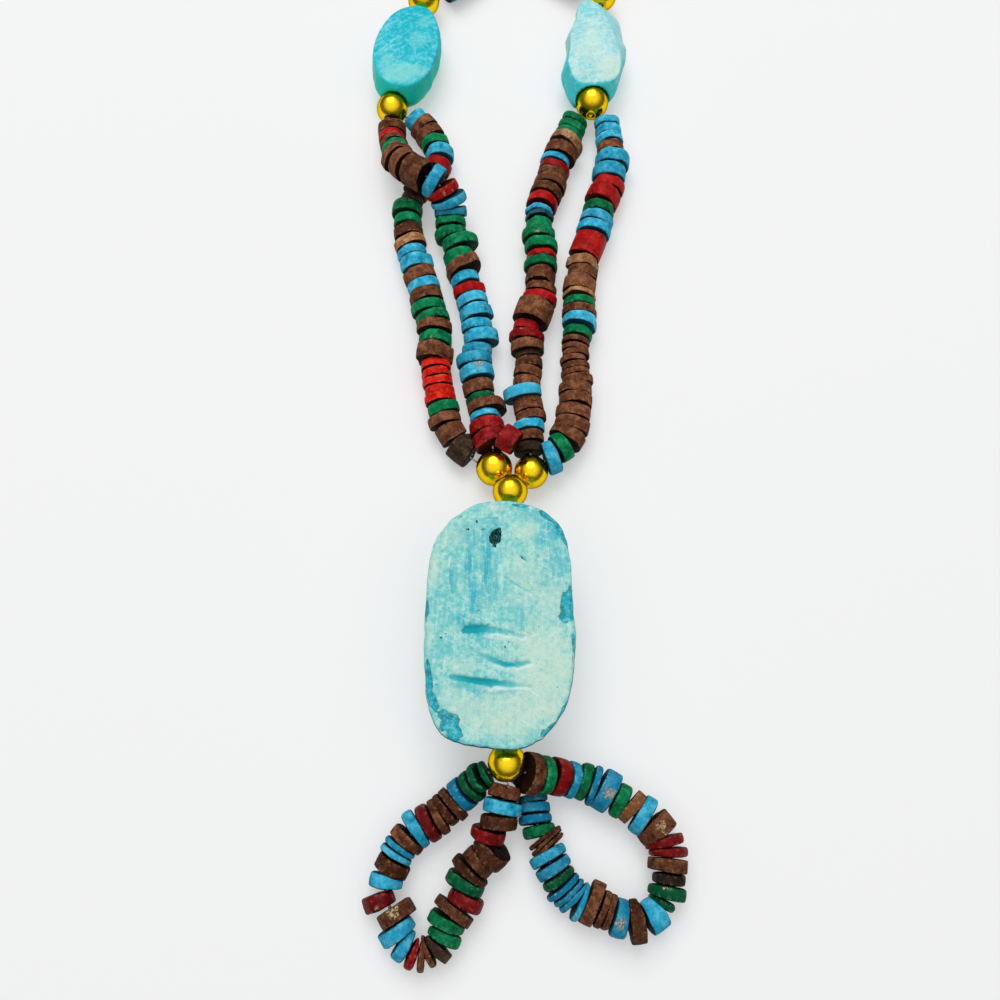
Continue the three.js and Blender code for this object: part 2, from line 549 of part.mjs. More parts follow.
// The small scarabs: a flat face, sloping sides down to the girdle, a rounded back

function smallScarab(girdle, face, lowerBead, upperBead) {
  const count = 22;
  const girdleRing = outlinePoints(girdle, count);
  const faceRing = outlinePoints(face, count);
  const box = new THREE.Box3().setFromPoints(girdleRing);
  const centre = box.getCenter(new THREE.Vector3());
  const middle = [centre.x, centre.y];
  const back = (share) => ringAt(
    girdleRing,
    middle,
    0.98 * Math.sqrt(1 - share ** 2.6),
    SMALL_GIRDLE_HEIGHT * (1 - share),
  );
  const rings = [back(0.97), back(0.72), back(0.36)];
  rings.push(ringAt(girdleRing, middle, 1.0, SMALL_GIRDLE_HEIGHT));
  rings.push(ringAt(faceRing, middle, 1.01, SMALL_HEIGHT - 0.4));
  rings.push(ringAt(faceRing, middle, 0.98, SMALL_HEIGHT));
  let body = solid(skin(rings));
  body = body.subtract(solid(rod(lowerBead.at, upperBead.at, BORE_RADIUS, 2, 6)));
  return body.subtract(beadRoom(lowerBead)).subtract(beadRoom(upperBead));
}

const leftSmall = smallScarab(
  LEFT_SMALL_GIRDLE,
  LEFT_SMALL_FACE,
  GOLD_BEADS.left_scarab_lower_bead,
  GOLD_BEADS.left_scarab_upper_bead,
);
const rightSmall = smallScarab(
  RIGHT_SMALL_GIRDLE,
  RIGHT_SMALL_FACE,
  GOLD_BEADS.right_scarab_lower_bead,
  GOLD_BEADS.right_scarab_upper_bead,
);
add('left_scarab', geometryOf(leftSmall), 'small');
add('right_scarab', geometryOf(rightSmall), 'small');
threadBetween('left_thread', GOLD_BEADS.left_scarab_lower_bead, GOLD_BEADS.left_scarab_upper_bead, 2.8);
threadBetween('right_thread', GOLD_BEADS.right_scarab_lower_bead, GOLD_BEADS.right_scarab_upper_bead, 2.8);

// The origin is under the middle of the necklace, on the surface it lies on

group.updateMatrixWorld(true);
const whole = new THREE.Box3().setFromObject(group, true);
group.position.set(
  -(whole.min.x + whole.max.x) / 2,
  -(whole.min.y + whole.max.y) / 2,
  -whole.min.z,
);
group.updateMatrixWorld(true);

export default group;
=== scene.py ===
"""A strung scarab necklace lying flat: glazed scarabs, gold-coloured balls, painted clay discs."""

import math
import random
import re

import bpy
import numpy as np
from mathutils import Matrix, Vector


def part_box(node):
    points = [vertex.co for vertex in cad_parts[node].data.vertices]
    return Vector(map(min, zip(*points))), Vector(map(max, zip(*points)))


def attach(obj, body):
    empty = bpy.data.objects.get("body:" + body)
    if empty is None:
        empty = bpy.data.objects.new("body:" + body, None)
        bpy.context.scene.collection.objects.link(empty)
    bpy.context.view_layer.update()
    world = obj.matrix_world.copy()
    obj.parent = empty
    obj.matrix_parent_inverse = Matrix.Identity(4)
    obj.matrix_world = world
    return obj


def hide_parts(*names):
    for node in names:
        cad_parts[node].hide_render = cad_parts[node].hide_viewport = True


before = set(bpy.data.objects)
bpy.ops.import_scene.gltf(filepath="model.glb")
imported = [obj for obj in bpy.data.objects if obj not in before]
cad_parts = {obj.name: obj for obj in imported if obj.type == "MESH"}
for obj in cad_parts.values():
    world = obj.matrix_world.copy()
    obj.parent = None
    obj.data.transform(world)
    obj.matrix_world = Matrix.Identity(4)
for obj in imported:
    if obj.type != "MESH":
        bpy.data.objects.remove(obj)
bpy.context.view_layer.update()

MM = 0.001

# The plan: millimetres, x to the right and y up the picture from its middle. The
# necklace's own frame is the plan moved, and the upper ball bead gives by how much.

PENDANT_TOP = (1.7, 0.9, 7.0)
low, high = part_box("pendant_top_bead")
SHIFT = np.array((low + high) / 2) / MM - np.array(PENDANT_TOP)


def to_metres(points):
    """Plan millimetres as metres in the necklace's frame."""
    return (np.asarray(points, float) + SHIFT) * MM


# Random values that come out the same each time

def lattice(cells, seed):
    """One value from -1 to 1 for each whole-numbered cell."""
    mask = np.uint64(0xFFFFFFFF)
    keys = cells.astype(np.int64).astype(np.uint64)
    mixed = keys[..., 0] * np.uint64(374761393) + keys[..., 1] * np.uint64(668265263)
    mixed = (mixed + keys[..., 2] * np.uint64(2246822519) + np.uint64(seed * 3266489917)) & mask
    mixed = ((mixed ^ (mixed >> np.uint64(15))) * np.uint64(2246822519)) & mask
    mixed = ((mixed ^ (mixed >> np.uint64(13))) * np.uint64(3266489917)) & mask
    return ((mixed ^ (mixed >> np.uint64(16))) & np.uint64(0xFFFF)).astype(float) / 32767.5 - 1


def soft_noise(points, size, seed=0, octaves=1):
    """Smooth values from about -1 to 1, changing over the given size in millimetres."""
    total = np.zeros(len(points))
    weight = 1.0
    scale = 1.0 / size
    for octave in range(octaves):
        place = np.asarray(points) * scale + 1000.0
        cell = np.floor(place)
        part = place - cell
        part = part * part * (3 - 2 * part)
        value = np.zeros(len(points))
        for corner in np.ndindex(2, 2, 2):
            share = np.prod(np.where(corner, part, 1 - part), axis=1)
            value += share * lattice(cell + corner, seed + octave)
        total += value * weight
        weight *= 0.5
        scale *= 2.1
    return total


def flat_noise(places, size, seed, octaves):
    """Soft noise over the plan, whatever the height."""
    flat = np.column_stack([places[:, :2], np.zeros(len(places))])
    return soft_noise(flat, size, seed, octaves)


def smoothstep(low_edge, high_edge, value):
    """0 below the low edge, 1 above the high one, smooth between."""
    share = np.clip((value - low_edge) / (high_edge - low_edge), 0, 1)
    return share * share * (3 - 2 * share)


def unit(vector):
    return vector / np.linalg.norm(vector)


def unit_rows(vectors):
    return vectors / np.linalg.norm(vectors, axis=1)[:, None]


# Smooth curves

def curve_through(points, closed=False, steps=30):
    """A Catmull-Rom curve through the points, as a row of samples."""
    p = np.asarray(points, float)
    if closed:
        p = np.vstack([p[-1], p, p[0], p[1]])
    else:
        p = np.vstack([2 * p[0] - p[1], p, 2 * p[-1] - p[-2]])
    t = np.linspace(0, 1, steps, endpoint=False)[:, None]
    rows = []
    for before, start, end, after in zip(p, p[1:], p[2:], p[3:]):
        leave = (end - before) / 2
        arrive = (after - start) / 2
        rows.append(
            (2 * t**3 - 3 * t**2 + 1) * start + (t**3 - 2 * t**2 + t) * leave
            + (3 * t**2 - 2 * t**3) * end + (t**3 - t**2) * arrive
        )
    if not closed:
        rows.append(p[-2][None])
    return np.vstack(rows)


class Route:
    """A smooth curve that is followed by the distance along it."""

    def __init__(self, points):
        self.samples = curve_through(points)
        steps = np.linalg.norm(np.diff(self.samples, axis=0), axis=1)
        self.distances = np.concatenate([[0], np.cumsum(steps)])
        self.length = self.distances[-1]

    def at(self, distance):
        return np.array([np.interp(distance, self.distances, axis) for axis in self.samples.T])

    def heading(self, distance, reach=0.4):
        start = self.at(max(distance - reach, 0))
        end = self.at(min(distance + reach, self.length))
        return unit(end - start)

    def bend(self, distance, reach=1.2):
        """The curve's turn per millimetre, as a vector towards the inside of the bend."""
        start = max(distance - reach, 0)
        end = min(distance + reach, self.length)
        return (self.heading(end) - self.heading(start)) / (end - start)


def even_outline(points, count):
    """Evenly spaced points, anticlockwise, on the closed curve through clockwise points."""
    samples = curve_through(points, closed=True)[::-1]
    samples = np.vstack([samples, samples[:1]])
    distances = np.concatenate([[0], np.cumsum(np.linalg.norm(np.diff(samples, axis=0), axis=1))])
    wanted = np.arange(count) * distances[-1] / count
    return np.stack([np.interp(wanted, distances, axis) for axis in samples.T], axis=1)


# Meshes

def make_piece(name, verts, faces, materials, marks=None, looks=None):
    """A mesh object from plan points, with one value per point for each mark."""
    mesh = bpy.data.meshes.new(name)
    mesh.from_pydata(to_metres(verts).tolist(), [], faces)
    for material in materials:
        mesh.materials.append(material)
    if looks is not None:
        mesh.polygons.foreach_set("material_index", looks)
    for mark, values in (marks or {}).items():
        layer = mesh.attributes.new(mark, "FLOAT", "POINT")
        layer.data.foreach_set("value", np.asarray(values, np.float32))
    mesh.polygons.foreach_set("use_smooth", [True] * len(mesh.polygons))
    mesh.update()
    piece = bpy.data.objects.new(name, mesh)
    bpy.context.scene.collection.objects.link(piece)
    return piece


def hand_over(piece, nodes):
    """The piece rides on the root and stands for the nodes, whose parts it hides."""
    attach(piece, "root")
    if nodes:
        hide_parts(*nodes)


def wall_faces(rows, count, joined=False):
    """Quads between rings of the same number of points, the last joined to the first."""
    faces = []
    for row in range(rows if joined else rows - 1):
        below = row * count
        above = ((row + 1) % rows) * count
        for i in range(count):
            j = (i + 1) % count
            faces.append((below + i, below + j, above + j, above + i))
    return faces


# Materials

def srgb(red, green, blue):
    """A colour as seen in a picture, 0 to 255, for a shader."""
    return tuple(((c / 255 + 0.055) / 1.055) ** 2.4 if c > 10 else c / 3294.6
                 for c in (red, green, blue)) + (1.0,)


class Finish:
    """A material in the making. Its colour is the main shade with others laid over it."""

    def __init__(self, name, **shades):
        self.material = bpy.data.materials.new(name)
        self.material.use_nodes = True
        self.nodes = self.material.node_tree.nodes
        self.links = self.material.node_tree.links
        self.shader = self.nodes["Principled BSDF"]
        self.place = self.nodes.new("ShaderNodeTexCoord").outputs["Object"]
        self.shades = {part: srgb(*shade) for part, shade in shades.items()}
        self.colour = self.shades["main"]

    def put(self, socket, value):
        """Sets a socket to a plain value, or links it to another socket."""
        if isinstance(value, bpy.types.NodeSocket):
            self.links.new(value, socket)
        else:
            socket.default_value = value

    def set(self, **values):
        """Gives the shader its colour and other values."""
        self.put(self.shader.inputs["Base Color"], self.colour)
        for name, value in values.items():
            self.put(self.shader.inputs[name.replace("_", " ")], value)

    def mark(self, name):
        node = self.nodes.new("ShaderNodeAttribute")
        node.attribute_name = name
        return node.outputs["Fac"]

    def stretched(self, turn, scale):
        """Places for streaks that lie at the given turn from the x axis, in degrees."""
        node = self.nodes.new("ShaderNodeMapping")
        node.vector_type = "TEXTURE"
        node.inputs["Rotation"].default_value = (0, 0, math.radians(turn))
        node.inputs["Scale"].default_value = scale
        self.links.new(self.place, node.inputs["Vector"])
        return node.outputs["Vector"]

    def noise(self, size, detail=2.0, roughness=0.55, place=None, distortion=0.0):
        """Noise from 0 to 1 whose features are about the given size in millimetres."""
        node = self.nodes.new("ShaderNodeTexNoise")
        self.links.new(place or self.place, node.inputs["Vector"])
        node.inputs["Scale"].default_value = 1.0 / (size * MM)
        node.inputs["Detail"].default_value = detail
        node.inputs["Roughness"].default_value = roughness
        node.inputs["Distortion"].default_value = distortion
        return node.outputs[0]

    def cells(self, size):
        """The distance to the nearest of scattered points, 0 at a point."""
        node = self.nodes.new("ShaderNodeTexVoronoi")
        self.links.new(self.place, node.inputs["Vector"])
        node.inputs["Scale"].default_value = 1.0 / (size * MM)
        return node.outputs["Distance"]

    def step(self, value, low_edge, high_edge, start=0.0, end=1.0):
        """From start to end as the value passes from the low edge to the high one."""
        node = self.nodes.new("ShaderNodeMapRange")
        node.interpolation_type = "SMOOTHSTEP"
        self.put(node.inputs["Value"], value)
        node.inputs["From Min"].default_value = low_edge
        node.inputs["From Max"].default_value = high_edge
        node.inputs["To Min"].default_value = start
        node.inputs["To Max"].default_value = end
        return node.outputs["Result"]

    def combine(self, operation, first, second):
        node = self.nodes.new("ShaderNodeMath")
        node.operation = operation
        self.put(node.inputs[0], first)
        self.put(node.inputs[1], second)
        return node.outputs[0]

    def sum(self, first, second):
        return self.combine("ADD", first, second)

    def product(self, first, second):
        return self.combine("MULTIPLY", first, second)

    def swing(self, noise, size):
        """Noise from 0 to 1 as a value on both sides of 0."""
        return self.product(self.sum(noise, -0.5), size)

    def blend(self, share, first, second):
        node = self.nodes.new("ShaderNodeMix")
        node.data_type = "RGBA"
        self.put(node.inputs["Factor"], share)
        self.put(node.inputs[6], first)
        self.put(node.inputs[7], second)
        return node.outputs[2]

    def lay(self, shade, share):
        """Lays a shade over the colour, as far as the share says."""
        self.colour = self.blend(share, self.colour, self.shades[shade])

    def over(self, shade, value, low_edge, high_edge, most=1.0):
        """Lays a shade over the colour where the value is past the low edge."""
        self.lay(shade, self.step(value, low_edge, high_edge, 0.0, most))

    def bump(self, height, depth, strength=1.0, under=None):
        """Relief of the given depth in millimetres, on top of another relief."""
        node = self.nodes.new("ShaderNodeBump")
        node.inputs["Strength"].default_value = strength
        node.inputs["Distance"].default_value = depth * MM
        self.put(node.inputs["Height"], height)
        if under is not None:
            self.put(node.inputs["Normal"], under)
        self.put(self.shader.inputs["Normal"], node.outputs["Normal"])
        return node.outputs["Normal"]


# How dark the painted shade between discs is, as a share of the dark shade
PAINTED_GAP_SHADE_SHARE = 0.16


def painted_clay(name, roughness, gloss, grit, main, light, dark, worn):
    """Paint over clay: mottled, paler where it is rubbed, bare in the chips, with painted shade where the
    discs meet.
    """
    finish = Finish(name, main=main, light=light, dark=dark, worn=worn,
                    clay=(140, 108, 72), pale_clay=(206, 184, 150))
    shades = finish.shades
    blotches = finish.noise(1.5, 3.0, 0.6)
    grain = finish.noise(0.26, 2.0, 0.7)
    tone = finish.mark("tone")
    finish.over("light", blotches, 0.46, 0.68)
    finish.over("dark", blotches, 0.46, 0.3, 0.8)
    finish.over("light", grain, 0.55, 0.74, grit)
    finish.over("dark", grain, 0.45, 0.28, grit)
    # The tone mark darkens or lightens each disc; the loops' lower tones are painted shade.
    finish.over("light", tone, 0.5, 1.0, 0.5)
    finish.over("dark", tone, 0.5, -0.5, 0.9)
    rubbed = finish.product(finish.mark("edge"), finish.step(finish.noise(0.7, 3.0, 0.65), 0.48, 0.7))
    finish.lay("worn", finish.product(rubbed, 0.55))
    finish.over("worn", finish.noise(0.36, 1.0, 0.5), 0.76, 0.81, 0.6)
    ragged = finish.swing(finish.noise(0.42, 3.0, 0.75), 4.5)
    chip = finish.product(finish.mark("chip"), finish.sum(0.6, ragged))
    shades["bare"] = finish.blend(finish.step(grain, 0.4, 0.62), shades["clay"], shades["pale_clay"])
    finish.over("bare", chip, 0.34, 0.6, 0.9)
    # Painted shade: the discs' faces, where they meet their neighbours, take a near-black copy of the dark
    # shade.
    shades["painted_gap_shade"] = tuple(part * PAINTED_GAP_SHADE_SHARE for part in shades["dark"][:3]) + (1.0,)
    finish.over("painted_gap_shade", finish.sum(finish.mark("face"), finish.swing(blotches, 0.5)), 0.15, 0.85, 0.92)
    finish.set(
        Roughness=finish.step(grain, 0.3, 0.7, roughness, roughness + 0.2),
        Specular_IOR_Level=gloss,
    )
    coarse = finish.bump(finish.noise(0.9, 3.0, 0.6), 0.16, 0.7)
    finish.bump(finish.noise(0.2, 2.0, 0.7), 0.06, 0.5 + grit, coarse)
    return finish.material


# Name, roughness, gloss and grit, then the main, light, dark and worn shades

CLAY = {
    "b": painted_clay("blue_clay", 0.55, 0.06, 0.5,
                      (40, 168, 204), (98, 206, 236), (0, 100, 136), (170, 226, 236)),
    "a": painted_clay("teal_clay", 0.55, 0.06, 0.5,
                      (18, 96, 118), (50, 140, 156), (4, 52, 68), (150, 128, 90)),
    "g": painted_clay("green_clay", 0.45, 0.07, 0.35,
                      (0, 114, 66), (14, 152, 96), (0, 62, 36), (110, 200, 150)),
    "r": painted_clay("red_clay", 0.4, 0.1, 0.35,
                      (158, 8, 10), (196, 24, 22), (84, 0, 4), (232, 104, 76)),
    "m": painted_clay("maroon_clay", 0.4, 0.1, 0.45,
                      (138, 8, 14), (176, 30, 34), (66, 0, 6), (232, 116, 96)),
    "R": painted_clay("bright_red_clay", 0.4, 0.08, 0.35,
                      (204, 14, 4), (230, 46, 26), (142, 4, 0), (250, 150, 90)),
    "n": painted_clay("brown_clay", 0.55, 0.06, 0.95,
                      (104, 58, 38), (150, 98, 68), (44, 18, 6), (204, 156, 112)),
    "k": painted_clay("dark_brown_clay", 0.5, 0.12, 0.8,
                      (60, 40, 28), (100, 74, 52), (20, 12, 8), (150, 118, 84)),
    "t": painted_clay("tan_clay", 0.55, 0.06, 0.75,
                      (168, 112, 68), (216, 176, 124), (104, 58, 30), (240, 218, 182)),
}
CLAY_ORDER = list(CLAY)


def gold_plate():
    """Polished yellow metal with a few dulled spots."""
    finish = Finish("gold_plate", main=(250, 208, 36), dull=(216, 152, 12))
    finish.over("dull", finish.noise(1.1, 3.0, 0.6), 0.55, 0.75, 0.5)
    finish.set(
        Metallic=1.0,
        Specular_Tint=(0.35, 0.25, 0.1, 1.0),
        Roughness=finish.step(finish.noise(0.5, 2.0, 0.6), 0.3, 0.8, 0.16, 0.3),
    )
    finish.bump(finish.noise(1.6, 2.0, 0.5), 0.08, 0.6)
    return finish.material


def white_thread():
    """Off-white thread with some soil in it."""
    finish = Finish("white_thread", main=(206, 200, 186), soil=(140, 130, 112))
    finish.over("soil", finish.noise(0.9, 2.0), 0.4, 0.7)
    finish.set(Roughness=0.8, Sheen_Weight=0.3)
    finish.bump(finish.noise(0.12, 2.0), 0.04, 0.8)
    return finish.material


def scarab_glaze(name, roughness, streak_turn, streaks, **shades):
    """Worn glaze. The marks say where it is deep, cream, washed, inked, and so on; the rim and line marks
    also carry painted shade, and the mark on the strokes' lower lips a painted highlight.
    """
    finish = Finish(name, **shades)
    clouds = finish.noise(3.4, 4.0, 0.62, distortion=0.4)
    mottle = finish.noise(0.95, 4.0, 0.7)
    patches = finish.noise(0.8, 3.0, 0.62)
    grain = finish.noise(0.3, 3.0, 0.85)
    lines = finish.noise(1.0, 4.0, 0.7, finish.stretched(streak_turn, (6.0, 0.6, 1.0)))
    hairs = finish.noise(1.0, 3.0, 0.6, finish.stretched(streak_turn + 62, (8.0, 0.3, 1.0)))
    broken = finish.swing(mottle, 1.1)

    finish.over("light", clouds, 0.38, 0.66)
    finish.over("mid", mottle, 0.5, 0.72, 0.5)
    finish.over("mid", lines, 0.5, 0.7, streaks)
    finish.over("pale", lines, 0.46, 0.3, streaks)
    wash = finish.product(finish.mark("wash"), finish.step(lines, 0.3, 0.62, 0.35, 1.25))
    finish.lay("wash", finish.sum(wash, finish.product(broken, 0.25)))
    finish.over("pale", patches, 0.5, 0.7, 0.45)
    finish.over("mid", patches, 0.5, 0.34, 0.75)
    cream = finish.product(finish.mark("cream"), finish.step(mottle, 0.2, 0.62, 0.3, 0.9))
    finish.lay("cream", cream)

    painted = finish.step(finish.mark("line"), 0.0, 1.0)
    finish.lay("line", finish.product(painted, 0.97))
    # Darker in the middle of each stroke: painted shade in its groove.
    finish.over("rim", finish.mark("line"), 0.6, 1.0, 0.3)
    # Painted highlight: the lip below each stroke takes the pale shade.
    finish.lay("pale", finish.product(finish.mark("lip_highlight"), 0.85))
    unpainted = finish.sum(1.0, finish.product(painted, -0.85))
    finish.lay("pale", finish.product(finish.step(grain, 0.54, 0.74, 0.0, 0.3), unpainted))

    # The chips show a richer colour, with a dark border
    deep_mark = finish.sum(finish.mark("deep"), finish.product(broken, 0.8))
    deep_mark = finish.sum(deep_mark, finish.swing(grain, 0.7))
    deep = finish.step(deep_mark, 0.34, 0.5)
    tints = finish.shades
    rich = finish.blend(finish.step(clouds, 0.4, 0.6, 0.0, 0.4), tints["deep"], tints["wash"])
    rich = finish.blend(finish.step(patches, 0.5, 0.62, 0.0, 0.75), rich, tints["rim"])
    tints["rich"] = finish.blend(finish.step(patches, 0.46, 0.34, 0.0, 0.4), rich, tints["light"])
    finish.lay("rich", finish.product(deep, 0.94))
    border = finish.product(finish.step(deep_mark, 0.26, 0.38), finish.step(deep_mark, 0.56, 0.42))
    finish.lay("rim", finish.product(border, 0.7))

    # The rim mark: painted shade on the central scarab's edge and side; a tint on the small scarabs'
    # sides.
    finish.over("rim", finish.sum(finish.mark("rim"), finish.product(broken, 0.5)), 0.25, 0.85, 0.92)
    finish.over("line", grain, 0.46, 0.28, 0.5)
    finish.over("pale", hairs, 0.62, 0.72, 0.45)
    finish.over("rim", hairs, 0.34, 0.24, 0.4)
    finish.over("rim", finish.noise(0.3, 1.0, 0.5), 0.71, 0.79, 0.7)
    finish.over("ink", finish.cells(3.4), 0.05, 0.03, 0.7)
    tints["inked"] = finish.blend(finish.step(grain, 0.5, 0.64, 0.0, 0.6), tints["ink"], tints["mid"])
    finish.over("inked", finish.sum(finish.mark("ink"), finish.product(broken, 0.5)), 0.4, 0.6)
    finish.set(
        Roughness=finish.step(deep, 0.0, 1.0, roughness, roughness - 0.22),
        Specular_IOR_Level=0.1,
    )
    coarse = finish.bump(finish.noise(1.4, 4.0, 0.65), 0.2, 0.7)
    scored = finish.bump(lines, 0.1, 0.6, coarse)
    finish.bump(grain, 0.07, 0.9, scored)
    return finish.material


CENTRAL_GLAZE = scarab_glaze(
    "central_glaze", 0.62, 88, 0.5,
    main=(132, 208, 204), light=(168, 222, 210), mid=(96, 192, 194), pale=(220, 242, 234),
    cream=(206, 228, 210), wash=(58, 178, 196), line=(0, 172, 182), deep=(6, 166, 186),
    rim=(0, 104, 108), ink=(6, 44, 42))
LEFT_GLAZE = scarab_glaze(
    "left_glaze", 0.5, 34, 0.9,
    main=(30, 192, 210), light=(92, 212, 224), mid=(0, 178, 196), pale=(148, 228, 234),
    cream=(140, 224, 216), wash=(0, 180, 200), line=(0, 160, 176), deep=(40, 210, 204),
    rim=(26, 206, 180), ink=(0, 110, 90))
RIGHT_GLAZE = scarab_glaze(
    "right_glaze", 0.5, 4, 0.5,
    main=(172, 224, 226), light=(198, 234, 230), mid=(140, 212, 218), pale=(222, 242, 240),
    cream=(216, 236, 216), wash=(98, 206, 218), line=(84, 196, 204), deep=(30, 200, 212),
    rim=(64, 214, 216), ink=(4, 110, 120))

# Clay discs. A strand is its thread's route and its discs from first to last: colour,
# thickness x diameter, then s = sideways shift, t = degrees the right end turns onwards,
# p = degrees the top leans onwards, *n = n alike. Looks only: c = a chip, w = a worn
# patch, at that many degrees round the rim from the right, and i = unevenness.

